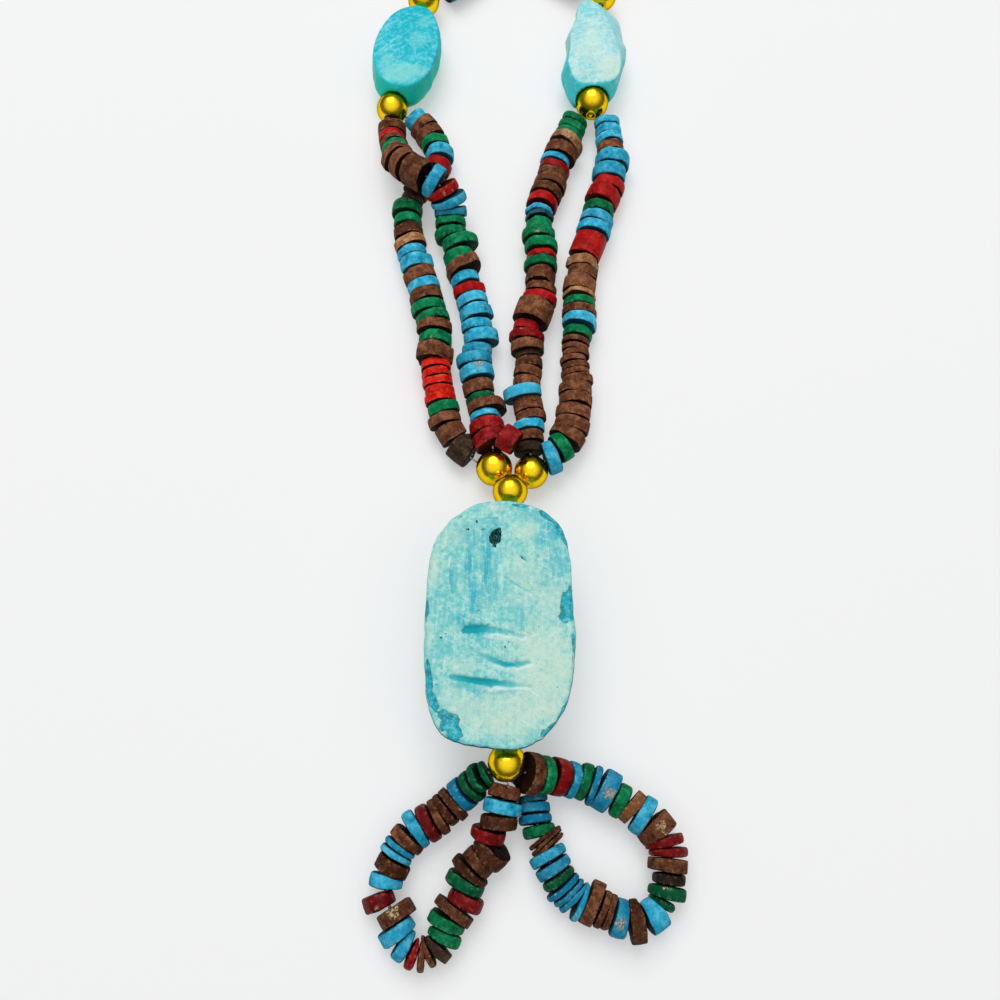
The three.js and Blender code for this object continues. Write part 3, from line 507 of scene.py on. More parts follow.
STRANDS = {
    "left_inner_strand": {
        "route": [
            (-21.2, 77.5, 3.4), (-21.1, 75.5, 3.5), (-20.5, 71.6, 4.6), (-18.8, 67.1, 6.6),
            (-16.3, 63.8, 8.1), (-13.6, 62.0, 8.5), (-11.4, 60.7, 7.7), (-10.0, 59.0, 5.8),
            (-9.5, 56.8, 3.9), (-9.2, 53.1, 3.1), (-7.9, 48.2, 3.0), (-6.5, 44.2, 3.0),
            (-5.5, 39.8, 3.0), (-4.6, 35.3, 3.0), (-4.1, 30.2, 3.0), (-4.1, 26.8, 3.0),
            (-3.8, 22.3, 3.0), (-3.2, 19.0, 3.0), (-2.6, 15.8, 3.5), (-2.0, 13.0, 4.2),
            (-1.4, 10.6, 4.8), (-1.2, 9.3, 5.0),
        ],
        "discs": "n2.3x5.3 r1.8x5.3c80 n1.6x5.3 g2.3x5.6 n1.9x6.4i8 n2.2x6.2 n3.8x6.0i6 b2.1x6.2 "
                 "r1.7x6.1c110 b1.7x6.8 b1.8x6.0 g1.7x5.6 g2.1x6.0 g2.1x6.7s1.3 g2.4x5.6 "
                 "n2.0x7.0t-8i6 b2.0x5.4 r1.8x5.9 b2.0x5.9 b2.2x6.2s0.6c60 b1.8x5.8 b2.2x6.2s0.6 "
                 "b1.6x5.4 b2.0x6.5s-0.7 b2.3x6.3w80 n2.1x5.6 g1.6x5.4 n1.8x6.8s0.4i7 b1.3x5.4 "
                 "m2.1x6.2p8 m2.6x5.6t-8i8",
    },
    "left_outer_strand": {
        "route": [
            (-17.4, 79.8, 3.4), (-16.3, 78.6, 3.1), (-14.8, 76.9, 2.9), (-13.1, 74.3, 2.9),
            (-12.1, 71.5, 2.9), (-11.9, 68.8, 2.9), (-13.3, 65.8, 2.8), (-15.7, 62.9, 2.8),
            (-17.3, 59.7, 2.9), (-17.4, 55.3, 2.9), (-16.8, 51.0, 3.0), (-15.7, 46.7, 3.0),
            (-14.3, 42.1, 3.0), (-13.1, 37.9, 3.0), (-12.1, 34.2, 3.0), (-11.8, 30.2, 3.0),
            (-11.7, 26.2, 3.0), (-11.0, 22.3, 3.0), (-10.3, 18.4, 3.0), (-9.6, 15.5, 3.0),
            (-8.5, 12.7, 2.9), (-7.1, 10.8, 2.8), (-5.8, 9.6, 2.7), (-4.7, 9.0, 2.7),
        ],
        "discs": "b2.2x4.6 n2.1x5.4*2 g2.0x5.5 b2.6x5.6 r2.2x5.4 n2.0x5.2 b2.0x5.2 n2.0x5.0 "
                 "k2.0x4.2 g2.6x5.6c75 g2.2x5.2 n2.3x5.4 t1.7x6.0t-8 b1.9x5.6 b2.5x6.1 n2.3x5.9 "
                 "b2.1x6.1 n2.2x6.1 g2.0x6.3*2 n1.8x6.4 g2.2x6.2c100 n2.9x6.4i9c120 R1.45x5.4*5 "
                 "g2.0x5.5 n1.8x5.8s-0.5i8 n2.9x4.9i9 k3.7x5.2i12",
    },
    "right_inner_strand": {
        "route": [
            (15.2, 79.7, 3.4), (14.6, 78.4, 3.0), (13.7, 76.0, 2.9), (12.3, 71.7, 3.0),
            (10.6, 67.2, 3.0), (9.2, 63.1, 3.0), (7.8, 59.1, 3.0), (7.4, 54.7, 3.0),
            (7.6, 48.8, 3.0), (7.5, 43.5, 3.0), (7.0, 38.7, 3.1), (5.5, 34.0, 3.1),
            (4.9, 30.2, 3.0), (5.2, 25.8, 3.0), (4.7, 22.3, 3.1), (5.0, 18.4, 3.0),
            (5.3, 14.6, 2.9), (5.3, 11.6, 3.2), (5.3, 8.8, 3.4),
        ],
        "discs": "g1.9x5.0 g1.9x5.7*2 t2.1x6.8w90t10 n2.4x6.4 b1.4x5.6s-0.6 r1.6x6.0 n1.6x6.0 "
                 "n2.1x6.2 n2.0x6.2 r2.2x6.0 b1.3x5.2 a1.1x5.2 g2.1x5.0 g2.3x6.3c95*2 r1.5x5.6 "
                 "g2.1x6.2 n2.9x5.9i9 n1.6x5.6 r2.0x6.2 n4.0x6.8 r1.8x4.8s-0.7 r1.8x6.4 n2.0x6.1 "
                 "k1.0x4.6 n1.8x5.0*3 b2.2x6.8s-0.6 n2.3x5.4 n1.7x5.5 b2.1x5.5c110 n1.9x5.0s-0.2 "
                 "k1.8x5.2s-0.4",
    },
    "right_outer_strand": {
        "route": [
            (20.8, 79.1, 3.3), (20.9, 77.8, 3.0), (21.2, 75.0, 2.9), (21.6, 71.1, 3.1),
            (21.3, 67.6, 3.2), (20.7, 63.8, 3.1), (19.3, 59.7, 3.0), (18.4, 56.0, 3.0),
            (17.1, 51.4, 3.0), (15.8, 47.4, 3.0), (15.0, 42.5, 3.0), (14.7, 38.3, 3.1),
            (14.6, 34.8, 3.0), (13.8, 30.2, 2.9), (13.5, 26.2, 2.9), (13.7, 22.3, 3.0),
            (13.4, 19.0, 3.1), (12.8, 15.5, 3.1), (11.9, 12.5, 3.2), (10.6, 10.2, 3.4),
            (8.8, 8.2, 3.6), (7.8, 7.5, 3.7),
        ],
        "discs": "b1.9x5.2*3 n1.9x5.2 b2.8x6.4 b2.7x6.5 r2.0x6.0 r3.1x6.6 g2.2x6.1 b2.0x6.3*2 "
                 "r4.6x6.1c95 t1.9x5.6i9 n1.9x5.7 n2.9x5.9 t1.0x6.1 g1.7x5.8 n1.6x6.2 b2.0x6.5 "
                 "g2.0x5.4 n1.1x5.0*6 n1.6x5.4s0.4 n1.9x5.9 n1.9x6.3s0.3 n2.1x6.2*3 g2.2x5.6t16 "
                 "b2.3x6.2t18p12",
    },
    "left_loop": {
        "route": [
            (-1.7, -44.5, 5.5), (-2.8, -45.2, 5.1), (-4.2, -46.2, 4.2), (-6.2, -48.0, 3.3),
            (-8.6, -50.3, 3.2), (-11.3, -51.9, 3.1), (-13.5, -53.4, 3.1), (-15.1, -55.3, 3.1),
            (-16.3, -57.4, 3.1),
            (-17.3, -59.9, 3.0), (-17.5, -62.0, 3.0), (-16.7, -64.2, 3.0), (-15.9, -66.6, 3.1),
            (-15.2, -68.4, 3.0), (-13.8, -70.2, 2.9), (-11.6, -70.7, 2.8), (-9.6, -69.8, 2.9),
            (-8.5, -68.0, 3.1), (-8.0, -66.2, 3.2), (-7.2, -64.8, 3.2), (-6.4, -63.3, 3.2),
            (-5.5, -61.2, 3.2), (-4.4, -59.1, 3.3), (-2.6, -57.2, 3.6), (-1.1, -55.4, 4.2),
            (-0.4, -53.4, 4.7), (0.0, -51.4, 5.0), (0.3, -49.4, 5.1), (1.0, -46.4, 5.1),
        ],
        "discs": "g1.0x4.2 g1.5x4.8 g1.6x5.2 b2.2x5.8 n1.3x5.8*3 m1.9x6.1 b1.8x6.3 n1.8x5.8 b1.0x5.5*2 "
                 "n2.1x5.5 b2.1x5.1 m2.3x4.8s-1.0c100 n2.2x6.0s0.7t-18w90 b2.1x5.8t-14c80 b1.9x5.0t-18c70 "
                 "m1.3x4.6 n1.0x4.6 n1.0x4.6 k1.5x4.6 g1.8x5.4 g1.8x6.2 n1.5x6.3 m2.1x5.8s-1.0 "
                 "g1.9x6.3 n1.4x6.3 n1.8x5.2 n2.5x5.8 m1.9x5.4s1.5 n2.0x6.0 b2.0x6.0 "
                 "n1.9x5.6i7",
    },
    "right_loop": {
        "route": [
            (3.3, -44.5, 6.4), (5.0, -44.6, 6.0), (7.6, -44.9, 4.9), (10.2, -45.3, 3.8),
            (12.6, -45.9, 3.3), (14.9, -46.7, 3.2), (17.4, -47.9, 3.2), (19.7, -49.1, 3.2),
            (21.5, -50.6, 3.2), (23.4, -52.0, 3.2), (24.9, -53.7, 3.2), (25.7, -55.7, 3.2),
            (25.8, -58.0, 3.2), (25.6, -60.1, 3.2), (25.2, -62.2, 3.1), (24.2, -64.3, 3.0),
            (22.3, -65.7, 3.2), (19.9, -66.2, 3.3), (17.7, -65.7, 3.2), (15.6, -64.7, 3.3),
            (13.4, -63.9, 3.1), (11.4, -63.0, 3.1), (9.9, -61.3, 3.1), (8.6, -59.4, 3.0),
            (7.5, -57.4, 3.0), (6.6, -55.2, 2.9), (5.9, -52.8, 2.8), (5.5, -50.4, 2.7),
            (5.1, -47.9, 2.6),
        ],
        "discs": "n2.7x6.0p24i7 g2.2x6.0 r2.8x5.8 b2.0x5.7 g2.1x6.0 b1.3x6.3 b2.9x6.4w95 "
                 "g2.4x5.6 t1.9x5.6 b2.3x6.1 n3.2x6.0w80 m1.6x6.2*2 n2.2x6.3 k1.8x5.1 g2.1x5.9 "
                 "g1.4x4.4 b3.3x5.2 n2.5x6.6 b2.7x5.7w80 n1.1x5.6*2 n2.3x6.6s-0.6 b1.3x5.8 b1.1x5.8*3 "
                 "g1.7x5.5 b1.9x6.0*2 n0.7x5.8s-0.9t-22*3 g2.0x5.3 b1.6x5.2 b1.7x5.0 a1.2x4.6",
    },
}

# The back of the neck: how each side starts, and the left half, which the right mirrors

NECK_MIDDLE_X = 3.0
NECK_HALF_ROUTE = [
    (-5.2, 122.4, 3.0), (-12.5, 129.4, 3.0), (-28.0, 137.8, 3.0), (-45.0, 149.5, 3.0),
    (-56.5, 165.5, 3.0), (-59.0, 186.0, 3.0), (-52.5, 206.0, 3.0), (-38.0, 222.0, 3.0),
    (-19.0, 231.8, 3.0), (-6.0, 234.3, 3.0), (2.75, 234.6, 3.0),
]
LEFT_NECK_START = [(-11.6, 111.8, 3.4), (-9.0, 113.6, 3.1), (-6.2, 115.8, 3.0), (-4.6, 118.8, 3.0)]
RIGHT_NECK_START = [(17.2, 112.2, 3.4), (14.9, 114.2, 3.1), (12.4, 116.0, 3.0), (10.4, 118.8, 3.0)]
STRAND_SIDES = 36
NECK_SIDES = 26
NECK_PITCH = 2.0
NECK_COLOURS = "agnnbbrnbgnnrbbgnkrnbt"
NECK_THICKNESS = (1.6, 2.4)
NECK_ACROSS = (5.3, 6.2)

# A disc's shape. Its edge rounding depends on its colour.

EDGE_ROUNDING = {
    "b": (0.3, 0.55), "a": (0.2, 0.4), "g": (0.4, 0.7), "r": (0.25, 0.5), "m": (0.25, 0.55),
    "R": (0.12, 0.25), "n": (0.12, 0.34), "k": (0.2, 0.5), "t": (0.15, 0.4),
}
# The face column is the share of painted shade that darkens the discs' faces between neighbours.
EDGE_ROWS = ((0, 0.2, 1.0), (25, 0.7, 0.85), (50, 1.0, 0.4), (75, 0.5, 0.05))  # degrees, wear, face
HOLE_RADIUS = 0.55
HOLE_BEVEL = 0.12
RADIUS_SPREAD = (0.97, 1.04)
UNEVENNESS = 0.02
OUTLINE_WAVES = (2, 3, 4, 5, 7)
FLATS = (0, 1, 2, 3)
FLAT_REACH = (0.87, 0.97)
FULL_TURN = 6.3
SURFACE_ROUGHNESS = 0.05
CHIP_KINDS = (("c", 0.6, 0.22), ("w", 1.6, 0.05))  # letter, how far it reaches, bite
SMALL_CHIP_CHANCE = 0.25
SMALL_CHIP_REACH = (0.25, 0.5)
SMALL_CHIP_BITE = 0.14

# How the discs sit on the thread. Tones below 0.5 are darker than the main colour. The loops' tones are
# lower as painted shade, darker towards the bottom of the necklace.

DISC_FILL = 0.94
BEND_SQUEEZE = 0.9
THINNEST = 0.35
STRAND_TONES = (-0.1, 0.75)
LOOP_TONES_WITH_PAINTED_SHADE = (-0.4, 0.2)
TILT_DRIFT = 5.0
SIDE_DRIFT = 0.24
FLOOR_GAP = 0.02


def read_discs(text):
    """The discs of a strand, one entry each."""
    discs = []
    for word in text.split():
        colour, thick, across, rest = re.fullmatch(r"(\w)([\d.]+)x([\d.]+)(.*)", word).groups()
        extra = {letter: float(value) for letter, value in re.findall(r"([a-z*])(-?[\d.]+)", rest)}
        for turn in range(int(extra.get("*", 1))):
            kept = {letter: value for letter, value in extra.items() if turn == 0 or letter in "stp"}
            discs.append({"colour": colour, "thick": float(thick), "radius": float(across) / 2,
                          "extra": kept})
    return discs


def disc_outline(angles, unevenness, rng):
    """An uneven, slightly flattened round outline: its reach at each angle, about 1."""
    outline = np.ones(len(angles))
    for order in OUTLINE_WAVES:
        swing = unevenness / order**0.5 * rng.uniform(-1, 1)
        outline += swing * np.cos(order * angles + rng.uniform(0, FULL_TURN))
    for _ in range(rng.choice(FLATS)):
        facing = np.cos(angles - rng.uniform(0, FULL_TURN))
        outline = np.minimum(outline, rng.uniform(*FLAT_REACH) / np.maximum(facing, 0.3))
    return outline


def disc_shape(disc, sides, rng):
    """One disc about its own axis: points (right, up, onwards), and its marks."""
    extra = disc["extra"]
    radius = disc["radius"] * rng.uniform(*RADIUS_SPREAD)
    half = disc["thick"] / 2
    angles = np.arange(sides) * 2 * math.pi / sides
    outer = radius * disc_outline(angles, UNEVENNESS + extra.get("i", 0) / 100, rng)
    edge = min(rng.uniform(*EDGE_ROUNDING[disc["colour"]]), half * 0.8)
    one_side = [
        (np.full(sides, HOLE_RADIUS), half - HOLE_BEVEL, 0.0, 1.0),
        (np.full(sides, HOLE_RADIUS + HOLE_BEVEL), half, 0.2, 1.0),
        (outer * 0.6 + 0.2, half + 0.02, 0.0, 1.0),
    ]
    for turn, wear, face in EDGE_ROWS:
        inset = edge * (1 - math.sin(math.radians(turn)))
        drop = edge * (1 - math.cos(math.radians(turn)))
        one_side.append((outer - inset, half - drop, wear, face))
    rows = [(reach, -height, wear, face) for reach, height, wear, face in one_side]
    rows.append((outer + 0.03, 0.0, 0.0, 0.0))
    rows += one_side[::-1]
    reaches, heights, wears, gap_shade_shares = zip(*rows)
    out = np.concatenate(reaches)
    around = np.tile(angles, len(rows))
    points = np.stack([out * np.cos(around), out * np.sin(around), np.repeat(heights, sides)], axis=1)
    # The face mark carries the painted shade on the faces between discs.
    marks = {
        "edge": np.repeat(wears, sides),
        "chip": np.zeros(len(points)),
        "face": np.repeat(gap_shade_shares, sides),
    }
    seed = rng.randrange(1000)
    rough = soft_noise(points + seed, 0.9, seed, 2)
    away = smoothstep(0.8, 1.6, out)
    points[:, :2] *= (1 + (SURFACE_ROUGHNESS * rough * away) / np.maximum(out, 0.5))[:, None]
    points[:, 2] += SURFACE_ROUGHNESS * soft_noise(points - seed, 1.3, seed + 5, 2) * away
    for letter, reach, bite in CHIP_KINDS:
        if letter in extra:
            chip_at(points, marks, radius, half, extra[letter], reach, bite, rng)
    if rng.random() < SMALL_CHIP_CHANCE:
        degrees = rng.uniform(0, 360)
        reach = rng.uniform(*SMALL_CHIP_REACH)
        chip_at(points, marks, radius, half, degrees, reach, SMALL_CHIP_BITE, rng)
    return points, marks


def chip_at(points, marks, radius, half, degrees, reach, bite, rng):
    """Breaks the paint and a little clay away round one place on the rim."""
    angle = math.radians(degrees)
    centre = np.array([radius * math.cos(angle), radius * math.sin(angle),
                       half * rng.choice((-0.7, 0.2, 0.8))])
    away = np.linalg.norm((points - centre) * (1, 1, 0.9), axis=1)
    depth = smoothstep(reach, reach * 0.35, away)
    marks["chip"][:] = np.maximum(marks["chip"], depth)
    points[:, :2] *= (1 - bite * depth / radius)[:, None]
    points[:, 2] -= np.sign(centre[2]) * bite * 0.5 * depth


def place_disc(disc, points, route, middle, stretch, tilt, rng):
    """A disc's points where it sits on its route, tilted and pinched by the bend."""
    extra = disc["extra"]
    onwards = route.heading(middle)
    right = unit(np.cross((0, 0, 1), onwards))
    up = np.cross(onwards, right)
    turn, lean = (math.radians(extra.get(letter, 0) + drift) for letter, drift in zip("tp", tilt))
    shift = extra.get("s", 0) + rng.uniform(-SIDE_DRIFT, SIDE_DRIFT)
    centre = route.at(middle) + right * shift
    centre[2] = max(centre[2], disc["radius"])
    across = right * math.cos(turn) + onwards * math.sin(turn)
    rise = up * math.cos(lean) + onwards * math.sin(lean)
    axis = unit(np.cross(across, rise))
    inside = route.bend(middle)
    squeeze = points[:, 0] * (across @ inside) + points[:, 1] * (rise @ inside)
    pitch = np.clip(1 - BEND_SQUEEZE * squeeze, THINNEST, 1.0) * stretch * DISC_FILL
    placed = centre + np.outer(points[:, 0], across) + np.outer(points[:, 1], rise)
    placed = placed + np.outer(points[:, 2] * pitch, axis)
    placed[:, 2] = np.maximum(placed[:, 2], FLOOR_GAP - SHIFT[2])
    return placed


def string_discs(name, route_points, discs, sides, seed, tones=STRAND_TONES):
    """All the discs of one strand as one piece."""
    rng = random.Random(seed)
    route = Route(route_points)
    stretch = route.length / sum(disc["thick"] for disc in discs)
    verts, faces, looks = [], [], []
    marks = {"edge": [], "chip": [], "face": [], "tone": []}
    along = 0.0
    start = 0
    tilt = np.zeros(2)
    for disc in discs:
        middle = (along + disc["thick"] / 2) * stretch
        along += disc["thick"]
        points, disc_marks = disc_shape(disc, sides, rng)
        tilt = 0.5 * tilt + [rng.uniform(-TILT_DRIFT, TILT_DRIFT) for _ in range(2)]
        verts.append(place_disc(disc, points, route, middle, stretch, tilt, rng))
        wall = np.array(wall_faces(len(points) // sides, sides, joined=True))
        faces.append(wall + start)
        start += len(points)
        looks.append(np.full(len(wall), CLAY_ORDER.index(disc["colour"])))
        disc_marks["tone"] = np.full(len(points), rng.uniform(*tones))
        for mark, values in disc_marks.items():
            marks[mark].append(values)
    return make_piece(
        name,
        np.concatenate(verts),
        np.concatenate(faces).tolist(),
        list(CLAY.values()),
        {mark: np.concatenate(values) for mark, values in marks.items()},
        np.concatenate(looks),
    )


def neck_discs(route_points, seed):
    """Plain discs of the usual colours, as many as the route holds."""
    rng = random.Random(seed)
    words = []
    for i in range(round(Route(route_points).length / NECK_PITCH)):
        colour = NECK_COLOURS[i] if i < 2 else rng.choice(NECK_COLOURS)
        words.append(f"{colour}{rng.uniform(*NECK_THICKNESS):.1f}x{rng.uniform(*NECK_ACROSS):.1f}")
    return read_discs(" ".join(words))


for seed, (node, strand) in enumerate(STRANDS.items()):
    # The loops get lower tones: painted shade, darker towards the bottom of the necklace.
    tones = LOOP_TONES_WITH_PAINTED_SHADE if "loop" in node else STRAND_TONES
    piece = string_discs(
        f"{node}_discs", strand["route"], read_discs(strand["discs"]), STRAND_SIDES, seed, tones)
    hand_over(piece, [node])

NECK_ROUTES = {
    "left_neck_strand": LEFT_NECK_START + NECK_HALF_ROUTE,
    "right_neck_strand": RIGHT_NECK_START
    + [(2 * NECK_MIDDLE_X - x, y, z) for x, y, z in NECK_HALF_ROUTE],
}
for seed, (node, route_points) in enumerate(NECK_ROUTES.items(), start=20):
    piece = string_discs(
        f"{node}_discs", route_points, neck_discs(route_points, seed), NECK_SIDES, seed)
    hand_over(piece, [node])

SIDE_DRUM = [(0.0, 11.1, 7.7), (2.8, 8.8, 7.5)]
side_drum = string_discs(
    "junction_side_drum", SIDE_DRUM, read_discs("m3.5x4.0i16"), STRAND_SIDES, 31)
hand_over(side_drum, ["junction_side_disc"])

# Gold-coloured ball beads: middle, radius, direction of the hole

GOLD_BEADS = {
    "junction_left_bead": ((-1.0, 6.3, 3.5), 3.15, (0.35, -1, 0.3)),
    "junction_right_bead": ((5.4, 5.6, 3.4), 2.95, (-0.45, -1, 0.3)),
    "pendant_top_bead": (PENDANT_TOP, 2.95, (0, 1, 0)),
    "pendant_bottom_bead": ((1.1, -43.2, 7.0), 3.0, (0, 1, 0)),
    "left_scarab_lower_bead": ((-21.2, 80.9, 4.0), 3.0, (0.21, 1, 0)),
    "left_scarab_upper_bead": ((-15.6, 107.6, 4.2), 3.2, (0.21, 1, 0)),
    "right_scarab_lower_bead": ((18.1, 82.4, 4.0), 3.2, (0.1, 1, 0)),
    "right_scarab_upper_bead": ((20.8, 108.9, 4.2), 3.1, (0.1, 1, 0)),
}
GOLD_HOLE = 0.75
GOLD_SIDES = 48
GOLD_ROWS = 30
GOLD_LIP = 0.12
GOLD_DENTS = 0.004
GOLD = gold_plate()


def ball_bead(name, middle, radius, hole, seed):
    """A ball with a straight hole, its mouths pressed in a little."""
    mouth = math.asin(GOLD_HOLE / radius)
    polar = np.linspace(mouth, math.pi - mouth, GOLD_ROWS)
    turns = np.arange(GOLD_SIDES) * 2 * math.pi / GOLD_SIDES
    from_mouth = np.minimum(polar, math.pi - polar) - mouth
    pressed = radius - GOLD_LIP * np.exp(-(from_mouth / 0.12) ** 2)
    axis = unit(np.array(hole, float))
    side = unit(np.cross(axis, (0, 0, 1)))
    other = np.cross(axis, side)
    ring = np.outer(np.cos(turns), side) + np.outer(np.sin(turns), other)
    points = np.concatenate([reach * (math.sin(angle) * ring - math.cos(angle) * axis)
                             for angle, reach in zip(polar, pressed)])
    points *= (1 + GOLD_DENTS * soft_noise(points, 2.2, seed, 2))[:, None]
    faces = wall_faces(GOLD_ROWS, GOLD_SIDES, joined=True)
    return make_piece(name, points + np.array(middle), faces, [GOLD])


for seed, (node, (middle, radius, hole)) in enumerate(GOLD_BEADS.items()):
    hand_over(ball_bead(f"{node}_polished", middle, radius, hole, seed), [node])

# White thread

THREAD = white_thread()
CORE_RADIUS = 0.3
STRAND_RADIUS = 0.22
LOOSE_RADIUS = 0.16
THREAD_SIDES = 10
THREAD_TWIST = 1.6  # radians per millimetre
THREAD_PLY = 0.16
THREAD_STEP = 0.35
END_TAPER = 0.55


def twisted_thread(points, radius):
    """A two-ply thread along a route, with closed ends: its points and faces."""
    route = Route(points)
    rows = max(3, int(route.length / THREAD_STEP))
    turns = np.arange(THREAD_SIDES) * 2 * math.pi / THREAD_SIDES
    rings = []
    for row in range(rows):
        distance = route.length * row / (rows - 1)
        onwards = route.heading(distance)
        right = unit(np.cross(onwards, (0.1, 0.2, 1)))
        up = np.cross(onwards, right)
        taper = END_TAPER if row in (0, rows - 1) else 1.0
        ply = 1 + THREAD_PLY * np.cos(2 * (turns - THREAD_TWIST * distance))
        spread = (radius * taper * ply)[:, None]
        rings.append(route.at(distance) + spread * (np.outer(np.cos(turns), right)
                                                    + np.outer(np.sin(turns), up)))
    faces = wall_faces(rows, THREAD_SIDES)
    faces.append(tuple(range(THREAD_SIDES))[::-1])
    faces.append(tuple((rows - 1) * THREAD_SIDES + i for i in range(THREAD_SIDES)))
    return np.concatenate(rings), faces


def thread_piece(name, routes, radius):
    """One piece for the threads along all the routes."""
    verts, faces, start = [], [], 0
    for points in routes:
        ring_points, ring_faces = twisted_thread(points, radius)
        faces += [tuple(start + i for i in face) for face in ring_faces]
        verts.append(ring_points)
        start += len(ring_points)
    return make_piece(name, np.concatenate(verts), faces, [THREAD])


def past(first, last, margin):
    """Four points on a straight line between two middles, carried past both."""
    a = np.array(first)
    b = np.array(last)
    along = unit(b - a) * margin
    return [a - along, a + (b - a) / 3, b - (b - a) / 3, b + along]


CORE_THREADS = {
    "pendant_thread": ("pendant_top_bead", "pendant_bottom_bead", 2.9),
    "left_thread": ("left_scarab_lower_bead", "left_scarab_upper_bead", 2.8),
    "right_thread": ("right_scarab_lower_bead", "right_scarab_upper_bead", 2.8),
}
for node, (first, last, margin) in CORE_THREADS.items():
    core_route = past(GOLD_BEADS[first][0], GOLD_BEADS[last][0], margin)
    hand_over(thread_piece(f"{node}_twisted", [core_route], CORE_RADIUS), [node])

STRAND_THREADS = [strand["route"] for strand in STRANDS.values()] + list(NECK_ROUTES.values())
hand_over(thread_piece("strand_threads", STRAND_THREADS, STRAND_RADIUS), [])

LOOSE_THREADS = [
    [(1.2, 3.0, 4.2), (0.2, 4.4, 3.6), (-0.6, 6.0, 3.4)],
    [(2.4, 3.0, 4.2), (3.8, 4.2, 3.6), (5.0, 5.4, 3.4)],
    [(5.6, 8.2, 3.6), (5.4, 8.8, 3.5), (5.3, 9.5, 3.4)],
    [(6.0, 7.4, 3.0), (7.4, 7.4, 3.2), (9.0, 8.2, 3.4)],
    [(-2.6, 7.0, 1.6), (-4.0, 7.9, 1.8), (-5.6, 8.9, 2.6)],
    [(0.6, -44.8, 4.6), (-0.6, -44.8, 4.9), (-1.7, -44.6, 5.2), (-2.8, -45.2, 5.1)],
    [(1.6, -45.0, 5.2), (2.8, -44.8, 5.7), (4.4, -44.5, 6.2)],
    [(1.2, -46.2, 6.2), (1.2, -47.0, 5.6), (1.0, -47.8, 5.0)],
    [(1.5, -45.6, 3.6), (2.6, -46.4, 1.6), (4.0, -47.2, 1.2), (5.2, -48.6, 2.4)],
    [(-21.2, 78.6, 3.2), (-21.2, 77.8, 3.3), (-21.2, 77.0, 3.4)],
    [(-19.4, 79.8, 2.8), (-18.4, 79.8, 3.0), (-17.0, 79.4, 3.3)],
    [(16.8, 80.4, 2.8), (15.8, 80.0, 3.0), (14.9, 79.2, 3.2)],
    [(19.4, 80.4, 2.8), (20.2, 79.8, 3.0), (20.9, 78.6, 3.1)],
    [(-15.0, 110.2, 4.0), (-13.5, 111.2, 3.7), (-11.4, 112.0, 3.4)],
    [(20.8, 111.6, 4.0), (19.2, 112.2, 3.7), (17.0, 112.4, 3.4)],
]
hand_over(thread_piece("loose_threads", LOOSE_THREADS, LOOSE_RADIUS), [])

# The central scarab. Its flat base faces up and the carved beetle lies underneath.

GLAZE_MARKS = ("deep", "wash", "cream", "rim", "ink", "line", "lip_highlight")
CENTRAL_TOP = 13.0
CENTRAL_PLATE = 2.3
BODY_DEPTH = CENTRAL_TOP - CENTRAL_PLATE
BODY_REACH = 0.93
CENTRAL_MIDDLE = np.array([0.0, -22.1])
CENTRAL_OUTLINE = [
    (-1.3, -2.5), (4.6, -3.1), (9.2, -5.9), (11.1, -11.0), (11.5, -19.5), (11.7, -27.0),
    (10.6, -33.7), (7.8, -38.4), (3.6, -41.2), (-2.7, -41.4), (-8.4, -39.6), (-10.9, -35.0),
    (-11.7, -27.5), (-11.7, -19.0), (-10.9, -10.6), (-7.3, -5.0),
]
OUTLINE_COUNT = 320
BASE_REACHES = np.linspace(0.012, 0.955, 88)
RIM_ROWS = (  # share of the outline's reach, drop below the base
    (0.97, 0.03), (0.982, 0.1), (0.992, 0.22), (1.0, 0.45), (1.002, 0.75),
    (1.0, 1.1), (0.994, 1.45), (0.982, 1.75), (0.965, 2.0), (0.945, 2.2),
)
BODY_ROWS = 40
LOWEST_SHARE = 0.985
# Painted shade along the base's edge and down its side, strongest towards the lower right.
EDGE_PAINTED_SHADE = 0.5
PAINTED_SHADE_SIDE = (0.45, -0.9)
CHIP_DEPTH = 0.25

# Strokes on the base, which are not signs: route, half width, depth, strength of the
# colour, and how far along it is widest.

